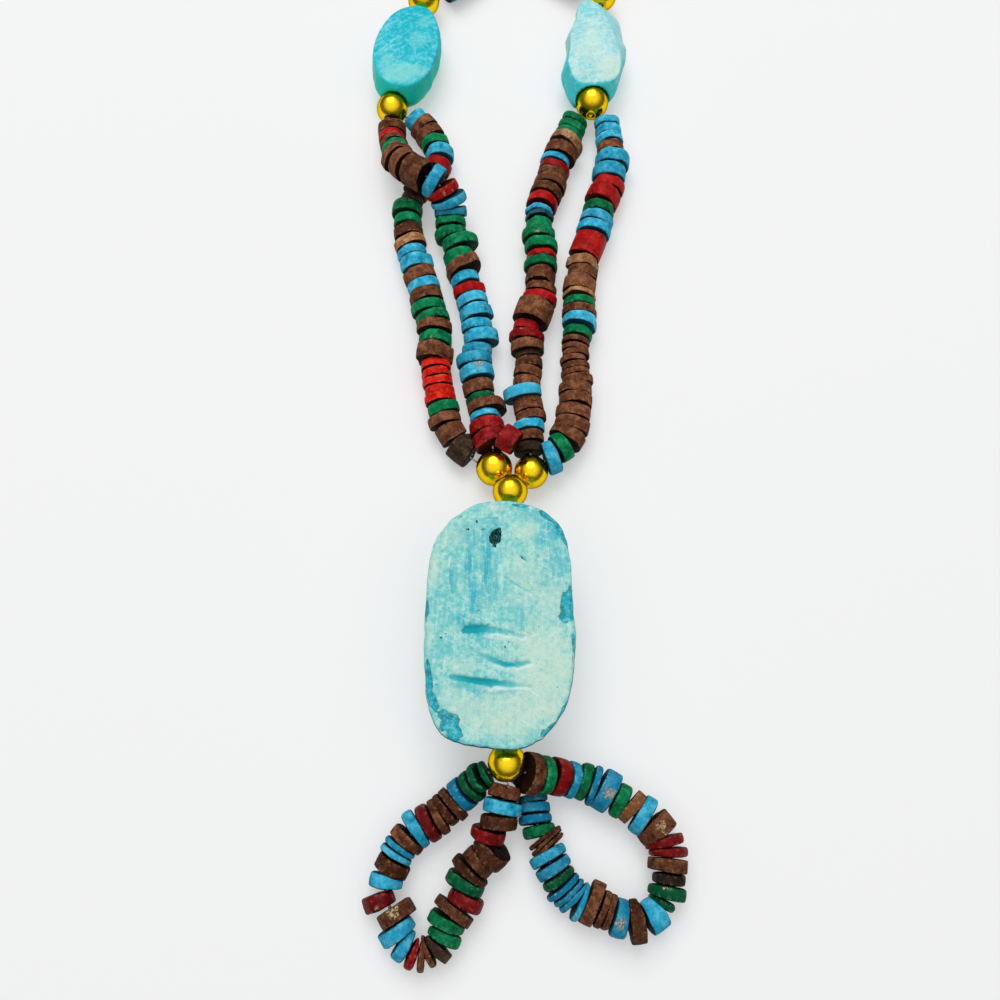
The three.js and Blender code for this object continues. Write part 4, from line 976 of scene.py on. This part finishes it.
BASE_STROKES = [
    ([(-5.2, -23.4), (-2.6, -23.4), (0.6, -23.9), (3.4, -24.7)], 0.74, 0.42, 1.0, 0.12),
    ([(-4.6, -26.5), (-1.7, -27.9), (1.2, -28.9), (4.4, -28.6)], 0.44, 0.26, 0.85, 0.65),
    ([(-7.4, -30.8), (-3.4, -31.4), (0.6, -31.8), (4.6, -32.2)], 0.56, 0.4, 1.0, 0.35),
    ([(-7.0, -31.9), (-3.2, -32.4), (0.6, -32.8), (3.4, -32.8)], 0.7, 0.05, 0.5, 0.35),
    ([(-7.6, -12.5), (-7.7, -15.0), (-7.4, -17.9)], 0.3, 0.24, 0.6, 0.5),
    ([(-4.9, -10.4), (-4.8, -13.0), (-4.9, -15.9)], 0.3, 0.22, 0.65, 0.4),
    ([(-2.2, -10.8), (-2.2, -14.0), (-2.4, -18.4)], 0.28, 0.2, 0.65, 0.5),
    ([(-3.4, -5.9), (-1.7, -5.4), (-0.1, -6.0)], 0.16, 0.1, 0.7, 0.5),
    ([(0.0, -14.6), (1.9, -16.0), (4.9, -17.8)], 0.2, 0.2, 0.6, 0.6),
    ([(3.0, -11.5), (3.7, -12.2), (4.6, -12.9)], 0.26, 0.2, 0.7, 0.4),
    ([(2.6, -35.4), (5.2, -31.6), (7.6, -27.4)], 0.12, 0.06, 0.15, 0.5),
    ([(-7.8, -10.2), (-6.6, -8.2), (-4.6, -6.6)], 0.14, 0.08, 0.3, 0.5),
    ([(3.4, -26.4), (6.2, -25.2), (8.8, -22.8)], 0.1, 0.06, 0.2, 0.5),
    ([(-6.0, -8.9), (-6.2, -12.4), (-5.8, -16.4)], 0.14, 0.07, 0.3, 0.5),
    ([(-0.9, -11.4), (-0.8, -14.2), (-1.0, -17.0)], 0.12, 0.06, 0.3, 0.5),
]
PIT = ((-0.8, -8.7), (0.86, 1.45), 0.85)

# Broad areas of the glaze on the base: middle, half sizes, degrees turned, strength

DEEP_AREAS = [
    ((10.9, -19.6), (1.4, 2.6), -14, 1.0), ((10.2, -21.4), (1.0, 0.9), 0, 0.9),
    ((-7.6, -37.6), (1.5, 1.5), 30, 1.0), ((-6.8, -39.3), (1.2, 1.0), 40, 0.95),
    ((-8.7, -36.4), (0.7, 0.8), 0, 0.8), ((-10.9, -30.6), (0.55, 2.6), 6, 0.95),
    ((-10.2, -34.3), (0.6, 1.9), 24, 0.9), ((9.9, -35.6), (0.5, 2.4), -34, 0.75),
    ((7.2, -38.7), (0.5, 2.0), -52, 0.6), ((10.3, -8.6), (0.7, 2.2), 28, 0.9),
    ((7.6, -5.2), (1.7, 0.6), -38, 0.75), ((3.4, -3.4), (1.6, 0.35), -8, 0.6),
    ((11.3, -25.6), (0.3, 1.6), 0, 0.5), ((-11.4, -20.4), (0.3, 1.6), 0, 0.5),
]
WASH_AREAS = [
    ((8.8, -7.2), (2.2, 1.8), -40, 0.9), ((6.6, -9.0), (1.6, 1.2), 0, 0.6),
    ((9.6, -12.4), (1.8, 3.2), 0, 0.5), ((5.6, -4.8), (3.4, 1.2), -30, 0.6),
    ((-2.1, -13.0), (0.9, 5.2), 0, 0.95), ((-0.8, -14.0), (0.5, 4.2), 0, 0.6),
    ((-4.8, -13.6), (0.9, 3.8), 2, 1.0), ((-4.1, -19.2), (0.8, 2.8), -6, 0.9),
    ((-2.6, -19.0), (0.8, 2.4), 0, 0.5), ((-6.2, -21.9), (1.9, 0.9), 0, 0.85),
    ((-7.4, -15.4), (0.6, 3.0), 0, 0.6), ((-3.4, -8.6), (2.6, 1.6), 0, 0.5),
    ((-1.4, -6.8), (1.8, 1.0), 0, 0.5), ((0.2, -28.4), (4.4, 0.9), -12, 0.35),
    ((-1.0, -32.9), (4.6, 0.8), -2, 0.45), ((-9.4, -21.0), (1.4, 4.0), 0, 0.25),
    ((-3.0, -24.6), (2.6, 0.8), -4, 0.5), ((3.6, -20.6), (2.0, 2.4), 0, 0.3),
    ((8.6, -14.6), (1.4, 2.4), 0, 0.35), ((-8.4, -27.0), (1.6, 2.4), 0, 0.2),
]
CREAM_AREAS = [
    ((6.8, -30.0), (4.6, 7.6), 0, 0.95), ((8.2, -19.6), (2.2, 3.4), 0, 0.6),
    ((1.6, -36.4), (6.0, 3.6), 0, 0.85), ((-10.6, -13.6), (0.9, 2.8), 0, 0.8),
    ((4.0, -7.6), (1.8, 1.5), 0, 0.7), ((-5.4, -36.0), (2.6, 2.4), 0, 0.6),
    ((0.4, -24.9), (2.4, 0.3), -6, 0.9), ((4.0, -15.0), (2.4, 4.0), 30, 0.5),
    ((-5.8, -29.0), (2.0, 1.2), 0, 0.45), ((-7.6, -8.4), (2.0, 1.6), 0, 0.4),
    ((-1.4, -3.6), (2.4, 0.7), 0, 0.4), ((-10.9, -24.6), (0.5, 2.4), 0, 0.7),
    ((-7.6, -33.6), (1.6, 1.6), 0, 0.5), ((2.4, -18.8), (1.6, 1.2), 0, 0.35),
]
INK_AREAS = [
    ((-0.8, -8.7), (0.84, 1.42), -6, 1.0), ((-3.7, -6.2), (0.24, 0.28), 0, 1.0),
    ((-5.1, -7.45), (0.36, 0.13), 0, 0.9), ((-2.7, -7.4), (0.36, 0.13), 0, 0.9),
    ((-3.1, -2.95), (0.7, 0.12), 0, 0.6), ((-1.7, -5.6), (1.6, 0.14), 6, 0.55),
    ((3.7, -12.2), (0.8, 0.14), -38, 0.6), ((0.8, -26.2), (0.16, 0.16), 0, 0.9),
    ((0.3, -27.3), (0.14, 0.14), 0, 0.9), ((-9.1, -24.8), (0.16, 0.16), 0, 0.9),
    ((-11.3, -28.8), (0.25, 1.2), 0, 0.7), ((-9.8, -31.9), (0.6, 0.12), -10, 0.6),
]


def in_areas(places, areas, seed, raggedness=0.22, outer=1.25, inner=0.7):
    """How far each place lies inside the areas, from 0 to 1, their edges made ragged."""
    ragged = raggedness * flat_noise(places, 0.9, seed, 3)
    result = np.zeros(len(places))
    for (x, y), (half_x, half_y), degrees, strength in areas:
        angle = math.radians(degrees)
        dx = places[:, 0] - x
        dy = places[:, 1] - y
        along = (dx * math.cos(angle) + dy * math.sin(angle)) / half_x
        across = (dy * math.cos(angle) - dx * math.sin(angle)) / half_y
        inside = smoothstep(outer, inner, np.hypot(along, across) + ragged)
        result = np.maximum(result, strength * inside)
    return result


def near_stroke(places, route):
    """Each place's distance to a stroke, how far along it that is, and if it is below."""
    samples = curve_through(route, steps=16)
    gaps = np.linalg.norm(places[:, None, :2] - samples[None], axis=2)
    nearest = gaps.argmin(axis=1)
    below = places[:, 1] < samples[nearest, 1]
    return gaps.min(axis=1), nearest / (len(samples) - 1), below


def base_relief(places):
    """Height over the base's flat level, in millimetres, the strokes' paint, and the painted highlight on
    the lips below them.
    """
    height = 0.13 * flat_noise(places, 5.5, 40, 2) + 0.04 * flat_noise(places, 1.1, 41, 3)
    ragged = 1 + 0.3 * flat_noise(places, 0.7, 43, 2)
    paint = np.zeros(len(places))
    lip_highlight = np.zeros(len(places))
    for route, half_width, depth, strength, widest in BASE_STROKES:
        gap, along, below = near_stroke(places, route)
        gap = gap * ragged
        swell = 0.34 + 0.66 * np.exp(-(((along - widest) / 0.45) ** 2))
        width = half_width * swell
        height -= depth * swell * np.exp(-((gap / width) ** 2))
        edge = np.exp(-(((gap - 1.6 * width) / (0.55 * width)) ** 2))
        height += 0.16 * depth * edge
        shown = strength * (0.1 + 0.9 * swell**1.3)
        paint = np.maximum(paint, shown * smoothstep(1.45, 0.6, gap / width))
        # Painted highlight: only the lip below a stroke is marked.
        crest = edge * below * smoothstep(0.25, 0.6, along) * smoothstep(0.1, 0.3, depth)
        lip_highlight = np.maximum(lip_highlight, strength * crest)
    (x, y), (half_x, half_y), depth = PIT
    pit = np.hypot((places[:, 0] - x) / half_x, (places[:, 1] - y) / half_y)
    height -= depth * smoothstep(1.15, 0.45, pit + 0.3 * flat_noise(places, 0.8, 42, 2))
    height -= CHIP_DEPTH * in_areas(places, DEEP_AREAS, 3)
    return height, paint, lip_highlight


def ringed_piece(name, rings, ring_marks, material):
    """A closed piece from rings of points, the first facing up, and each ring's marks."""
    count = len(rings[0])
    faces = [face[::-1] for face in wall_faces(len(rings), count)]
    faces.append(tuple(range(count)))
    last = (len(rings) - 1) * count
    faces.append(tuple(last + i for i in reversed(range(count))))
    marks = {mark: np.concatenate([values[mark] for values in ring_marks]) for mark in GLAZE_MARKS}
    return make_piece(name, np.concatenate(rings), faces, [material], marks)


def central_scarab():
    """The whole scarab as rings, from the middle of its base down to its back."""
    outline = even_outline(CENTRAL_OUTLINE, OUTLINE_COUNT)
    spokes = outline - CENTRAL_MIDDLE
    rim_noise = flat_noise(outline, 2.2, 7, 3)
    # Painted shade on the edges: strongest towards the lower right
    painted_edge_shade = 0.35 + 0.65 * smoothstep(-0.2, 0.9, unit_rows(spokes) @ PAINTED_SHADE_SIDE)
    levels = [(reach, CENTRAL_TOP, "face") for reach in BASE_REACHES]
    levels += [(reach, CENTRAL_TOP - drop, "rim") for reach, drop in RIM_ROWS]
    for share in np.minimum(1 - np.cos(np.linspace(0.1, math.pi / 2, BODY_ROWS)), LOWEST_SHARE):
        levels.append((BODY_REACH * math.sqrt(1 - share**2.4), BODY_DEPTH * (1 - share), "body"))
    for fade in (0.7, 0.4, 0.1):
        levels.append((levels[-1][0] * fade, levels[-1][1], "body"))
    rings, ring_marks = [], []
    for reach, height, zone in levels:
        places = CENTRAL_MIDDLE + spokes * reach
        z = np.full(OUTLINE_COUNT, height)
        values = {name: np.zeros(OUTLINE_COUNT) for name in GLAZE_MARKS}
        if zone == "face":
            relief, values["line"], values["lip_highlight"] = base_relief(places)
            z += relief * smoothstep(1.0, 0.93, reach)
            z -= 0.22 * smoothstep(0.8, 1.0, reach) * (0.6 + 0.5 * rim_noise)
            values["deep"] = in_areas(places, DEEP_AREAS, 3)
            values["wash"] = in_areas(places, WASH_AREAS, 4, 0.4, 1.7, 0.3)
            values["cream"] = in_areas(places, CREAM_AREAS, 5, 0.3, 1.5, 0.5)
            values["ink"] = in_areas(places, INK_AREAS, 6, 0.4)
            # The rim mark on the face's edge is painted shade.
            values["rim"] += EDGE_PAINTED_SHADE * smoothstep(0.93, 0.99, reach) * painted_edge_shade
        elif zone == "rim":
            worn = 0.012 * rim_noise * smoothstep(2.2, 0.0, CENTRAL_TOP - height)
            places = CENTRAL_MIDDLE + spokes * (reach + worn - 0.006)[:, None]
            z -= 0.12 * (rim_noise + 0.5)
            values["deep"] = in_areas(places, DEEP_AREAS, 3)
            # Painted shade down the side below the base.
            values["rim"] += painted_edge_shade * smoothstep(0.12, 0.5, CENTRAL_TOP - height) * 1.6
            values["cream"] = in_areas(places, CREAM_AREAS, 5) * 0.6
        else:
            places, z, carved, legs = beetle_ring(spokes, reach, height)
            values["wash"] += 0.35 * (1 - legs)
            values["cream"] = 0.8 * legs
            values["deep"] = carved
        rings.append(np.column_stack([places, z]))
        ring_marks.append(values)
    return ringed_piece("central_scarab_carved", rings, ring_marks, CENTRAL_GLAZE)


# The beetle's carving: lines across its back, rows on the wing cases, three legs a side

WING_START_Y = -15.5
HEAD_START_Y = -9.0
BACK_LINES = ((WING_START_Y, 0.5, 0.03), (HEAD_START_Y, 0.55, -0.012))  # place, width, bow
LEGS = ((-12.5, 0.35), (-21.0, -0.2), (-30.0, -0.5))  # place, slant
LEG_ROOT_X = 8
LEG_WIDTH = 1.1
LEG_HEIGHT = 0.9
CARVING_DEPTH = 0.35
BODY_HALF_WIDTH = 12


def beetle_ring(spokes, reach, height):
    """One level of the beetle's body: places, heights, how deep the carving is, and legs."""
    x, y = (CENTRAL_MIDDLE + spokes * reach).T
    up = height / BODY_DEPTH
    carved = 0.75 * np.exp(-((x / 0.45) ** 2)) * smoothstep(WING_START_Y + 0.2, WING_START_Y - 0.4, y)
    for line, width, bow in BACK_LINES:
        carved = np.maximum(carved, np.exp(-(((y - line - bow * x**2) / width) ** 2)))
    wing_rows = 0.35 * np.maximum(0, np.cos(x * 2.4)) ** 8 * smoothstep(-16.5, -18.5, y)
    carved = np.maximum(carved, wing_rows * smoothstep(0.75, 0.5, up))
    legs = np.zeros(len(x))
    beside = np.zeros(len(x))
    for leg_y, slant in LEGS:
        gap = np.abs(y - leg_y - slant * (np.abs(x) - LEG_ROOT_X))
        legs = np.maximum(legs, np.exp(-((gap / LEG_WIDTH) ** 2)))
        beside = np.maximum(beside, np.exp(-(((gap - 1.9) / 0.45) ** 2)))
    side_band = smoothstep(0.3, 0.5, up) * smoothstep(1.02, 0.9, up)
    legs *= side_band
    carved = np.maximum(carved, 0.7 * beside * side_band)
    out = 1 + (LEG_HEIGHT * legs - CARVING_DEPTH * carved) / BODY_HALF_WIDTH
    places = CENTRAL_MIDDLE + spokes * (reach * out)[:, None]
    z = np.full(len(x), height) + 0.45 * carved * smoothstep(0.8, 0.2, up)
    return places, z, np.clip(carved, 0, 1), legs


hand_over(central_scarab(), ["central_scarab"])

# The small scarabs: a slightly domed face, sides sloping to the girdle, a rounded back.
# Slope is how strongly the sides are tinted: in all, to the right, and lower down.

SMALL_TOP = 8.0
GIRDLE = 4.6
LOWEST = 0.15
SMALL_COUNT = 200
FACE_REACHES = 0.015 + 0.93 * (np.arange(45) / 44)
SIDE_ROWS = (  # share of the way from the face to the girdle, drop below the top
    (0.03, 0.5), (0.08, 0.6), (0.15, 0.78), (0.25, 1.05), (0.38, 1.45),
    (0.53, 1.9), (0.68, 2.35), (0.82, 2.8), (0.93, 3.15), (1.0, 3.4),
)
BACK_ROWS = 26
BEAD_CLEARANCE = 0.3
SMALL_DEEP_SIDE = (-0.5, -0.8)
SMALL_SCARABS = {
    "left_scarab": {
        "girdle": [
            (-15.9, 103.6), (-12.9, 101.4), (-11.7, 95.2), (-12.8, 88.8), (-15.0, 84.2),
            (-18.0, 81.8), (-22.4, 82.1), (-24.9, 86.4), (-25.2, 93.0), (-23.4, 98.8),
            (-20.2, 102.8),
        ],
        "face": [
            (-16.1, 102.8), (-13.4, 100.9), (-12.0, 95.2), (-12.9, 89.2), (-14.6, 85.6),
            (-17.4, 83.7), (-21.8, 84.3), (-24.4, 88.0), (-24.8, 93.0), (-23.0, 98.4),
            (-20.1, 101.9),
        ],
        "beads": ("left_scarab_lower_bead", "left_scarab_upper_bead"),
        "glaze": LEFT_GLAZE,
        "cream": [((-19.0, 86.4), (4.6, 2.0), 6, 0.9), ((-21.8, 88.6), (2.0, 2.0), 0, 0.6),
                  ((-16.2, 94.0), (1.8, 2.0), 30, 0.45), ((-15.0, 98.4), (1.2, 1.8), 0, 0.45)],
        "wash": [((-17.4, 100.6), (4.0, 2.4), 0, 0.9), ((-19.6, 96.0), (3.4, 1.1), -35, 0.8),
                 ((-19.0, 92.6), (3.2, 0.9), -35, 0.7), ((-19.0, 89.6), (2.6, 0.8), -30, 0.6)],
        "slot": "left_scarab_glaze",
        "slope": (0.9, 0.25, 0.75),
    },
    "right_scarab": {
        "girdle": [
            (17.6, 105.4), (21.2, 104.9), (23.9, 101.6), (24.8, 97.0), (25.4, 93.8), (24.1, 88.8),
            (22.4, 83.4), (18.2, 80.9), (14.2, 81.7), (12.2, 87.4), (13.2, 92.4), (13.4, 97.0),
            (15.2, 101.2), (15.5, 104.0),
        ],
        "face": [
            (17.2, 104.2), (19.7, 103.2), (21.4, 99.4), (22.6, 95.4), (23.6, 91.2), (23.5, 87.2),
            (21.9, 84.8), (18.0, 84.1), (14.9, 84.6), (13.4, 88.6), (13.7, 92.6), (14.1, 96.6),
            (15.3, 100.4), (15.7, 102.8),
        ],
        "beads": ("right_scarab_lower_bead", "right_scarab_upper_bead"),
        "glaze": RIGHT_GLAZE,
        "cream": [((21.6, 87.6), (2.4, 2.4), 0, 0.8), ((18.0, 92.0), (2.4, 5.0), 0, 0.4)],
        "wash": [((18.2, 101.6), (2.6, 2.2), 0, 0.5), ((17.0, 88.6), (1.6, 1.6), 0, 0.4)],
        "slot": "right_scarab_glaze",
        "slope": (0.2, 0.3, 0.6),
    },
}


def small_scarab(node, facts):
    """One small scarab, as rings from the middle of its face down to its back."""
    girdle = even_outline(facts["girdle"], SMALL_COUNT)
    face = even_outline(facts["face"], SMALL_COUNT)
    middle = (girdle.min(axis=0) + girdle.max(axis=0)) / 2
    start = np.argmin(np.linalg.norm(face - girdle[0], axis=1))
    face = np.roll(face, -start, axis=0)
    spokes = unit_rows(girdle - middle)
    lumps = flat_noise(girdle, 2.6, 9, 2)
    base_slope, right_slope, low_slope = facts["slope"]
    slope = np.clip(base_slope + right_slope * spokes[:, 0] - low_slope * spokes[:, 1], 0, 1)
    levels = [(reach, SMALL_TOP, None) for reach in FACE_REACHES]
    levels += [(1.0, SMALL_TOP - drop, sideways) for sideways, drop in SIDE_ROWS]
    for share in np.sin(np.linspace(0.06, 1.36, BACK_ROWS)):
        levels.append((0.985 * math.sqrt(1 - share**2.6), GIRDLE * (1 - share), 1.0))
    for fade in (0.6, 0.15):
        levels.append((levels[-1][0] * fade, levels[-1][1], 1.0))
    rings, ring_marks = [], []
    for reach, height, sideways in levels:
        outline = face if sideways is None else face + (girdle - face) * sideways
        places = middle + (outline - middle) * reach
        z = np.full(SMALL_COUNT, height)
        values = {name: np.zeros(SMALL_COUNT) for name in GLAZE_MARKS}
        if sideways is None:
            z += 0.12 * flat_noise(places, 3.2, 50, 3) - 0.46 * smoothstep(0.6, 1.0, reach)
            values["cream"] = in_areas(places, facts["cream"], 11)
            values["wash"] = in_areas(places, facts["wash"], 12)
        else:
            z += 0.08 * flat_noise(places, 1.8, 51, 2)
            places = places + spokes * (0.16 * lumps)[:, None] * min(1, 2 * sideways)
            values["rim"] = slope * smoothstep(0.0, 0.7, sideways)
            values["wash"] = np.full(SMALL_COUNT, 0.5 * (1 - sideways))
            values["deep"] = 0.6 * smoothstep(0.1, 0.9, spokes @ SMALL_DEEP_SIDE)
        points = np.column_stack([places, np.maximum(z, LOWEST)])
        for bead in facts["beads"]:
            bead_middle, radius, _ = GOLD_BEADS[bead]
            away = points - np.array(bead_middle)
            gap = np.linalg.norm(away, axis=1)
            room = radius + BEAD_CLEARANCE
            towards = np.sign(middle[1] - bead_middle[1])
            hollow = np.sqrt(np.maximum(room**2 - away[:, 0] ** 2 - away[:, 2] ** 2, 0))
            points[:, 1] = np.where(gap < room, bead_middle[1] + towards * hollow, points[:, 1])
            values["rim"] = np.maximum(values["rim"], smoothstep(room + 0.8, room, gap))
        rings.append(points)
        ring_marks.append(values)
    return ringed_piece(f"{node}_carved", rings, ring_marks, facts["glaze"])


for node, facts in SMALL_SCARABS.items():
    hand_over(small_scarab(node, facts), [node])

# Floor, light and camera

FLOOR_REACH = 3.0
FLOOR_GLOW = 0.35
KEY_PLACE = (-150, 900, 1400)
KEY_SIZE = 1100
KEY_POWER = 14.0
DOME_TINT = (0.98, 0.99, 1.0, 1.0)
DOME_RISE = (0.35, 0.95)  # heights, 1 overhead, between which the dome brightens
DOME_GLOW = (0.12, 1.05)


def pale_floor():
    """A plain pale floor that glows a little, so that its shadows stay soft."""
    mesh = bpy.data.meshes.new("floor")
    corners = [(-FLOOR_REACH, -FLOOR_REACH, 0), (FLOOR_REACH, -FLOOR_REACH, 0),
               (FLOOR_REACH, FLOOR_REACH, 0), (-FLOOR_REACH, FLOOR_REACH, 0)]
    mesh.from_pydata(corners, [], [(0, 1, 2, 3)])
    floor = bpy.data.objects.new("floor", mesh)
    bpy.context.scene.collection.objects.link(floor)
    finish = Finish("pale_floor", main=(193, 193, 193))
    finish.set(
        Roughness=0.9,
        Emission_Color=(1.0, 1.0, 1.0, 1.0),
        Emission_Strength=FLOOR_GLOW,
    )
    mesh.materials.append(finish.material)


def soft_light(name, place, aim, size, power):
    """A square soft light aimed at a plan point; places in millimetres."""
    data = bpy.data.lights.new(name, "AREA")
    data.size = size * MM
    data.energy = power
    light = bpy.data.objects.new(name, data)
    light.location = Vector(to_metres(place))
    towards = Vector(to_metres(aim)) - light.location
    light.rotation_euler = towards.to_track_quat("-Z", "Y").to_euler()
    bpy.context.scene.collection.objects.link(light)


def studio_world():
    """A dome that is bright overhead and dim near the horizon."""
    world = bpy.data.worlds.new("studio")
    world.use_nodes = True
    nodes = world.node_tree.nodes
    links = world.node_tree.links
    direction = nodes.new("ShaderNodeTexCoord").outputs["Generated"]
    split = nodes.new("ShaderNodeSeparateXYZ")
    links.new(direction, split.inputs[0])
    glow = nodes.new("ShaderNodeMapRange")
    glow.interpolation_type = "SMOOTHSTEP"
    links.new(split.outputs["Z"], glow.inputs["Value"])
    names = ("From Min", "From Max", "To Min", "To Max")
    for name, value in zip(names, DOME_RISE + DOME_GLOW):
        glow.inputs[name].default_value = value
    sky = nodes["Background"]
    sky.inputs["Color"].default_value = DOME_TINT
    links.new(glow.outputs["Result"], sky.inputs["Strength"])
    return world


pale_floor()
soft_light("key", KEY_PLACE, (0, 0, 0), KEY_SIZE, KEY_POWER)
bpy.context.scene.world = studio_world()
bpy.context.scene.view_settings.view_transform = "Standard"

CAMERA_TILT = math.radians(17.5)
CAMERA_DISTANCE = 161.5
CAMERA_AIM = np.array([0.0, 0.0, 5.0])
CAMERA_LENS = 34.2
CAMERA_SENSOR = 36.0
CAMERA_NEAR = 0.01

camera_data = bpy.data.cameras.new("camera")
camera_data.sensor_width = CAMERA_SENSOR
camera_data.lens = CAMERA_LENS
camera_data.clip_start = CAMERA_NEAR
camera = bpy.data.objects.new("camera", camera_data)
away = np.array([0.0, -math.sin(CAMERA_TILT), math.cos(CAMERA_TILT)])
camera.location = Vector(to_metres(CAMERA_AIM + CAMERA_DISTANCE * away))
camera.rotation_euler = (CAMERA_TILT, 0.0, 0.0)
bpy.context.scene.collection.objects.link(camera)
bpy.context.scene.camera = camera
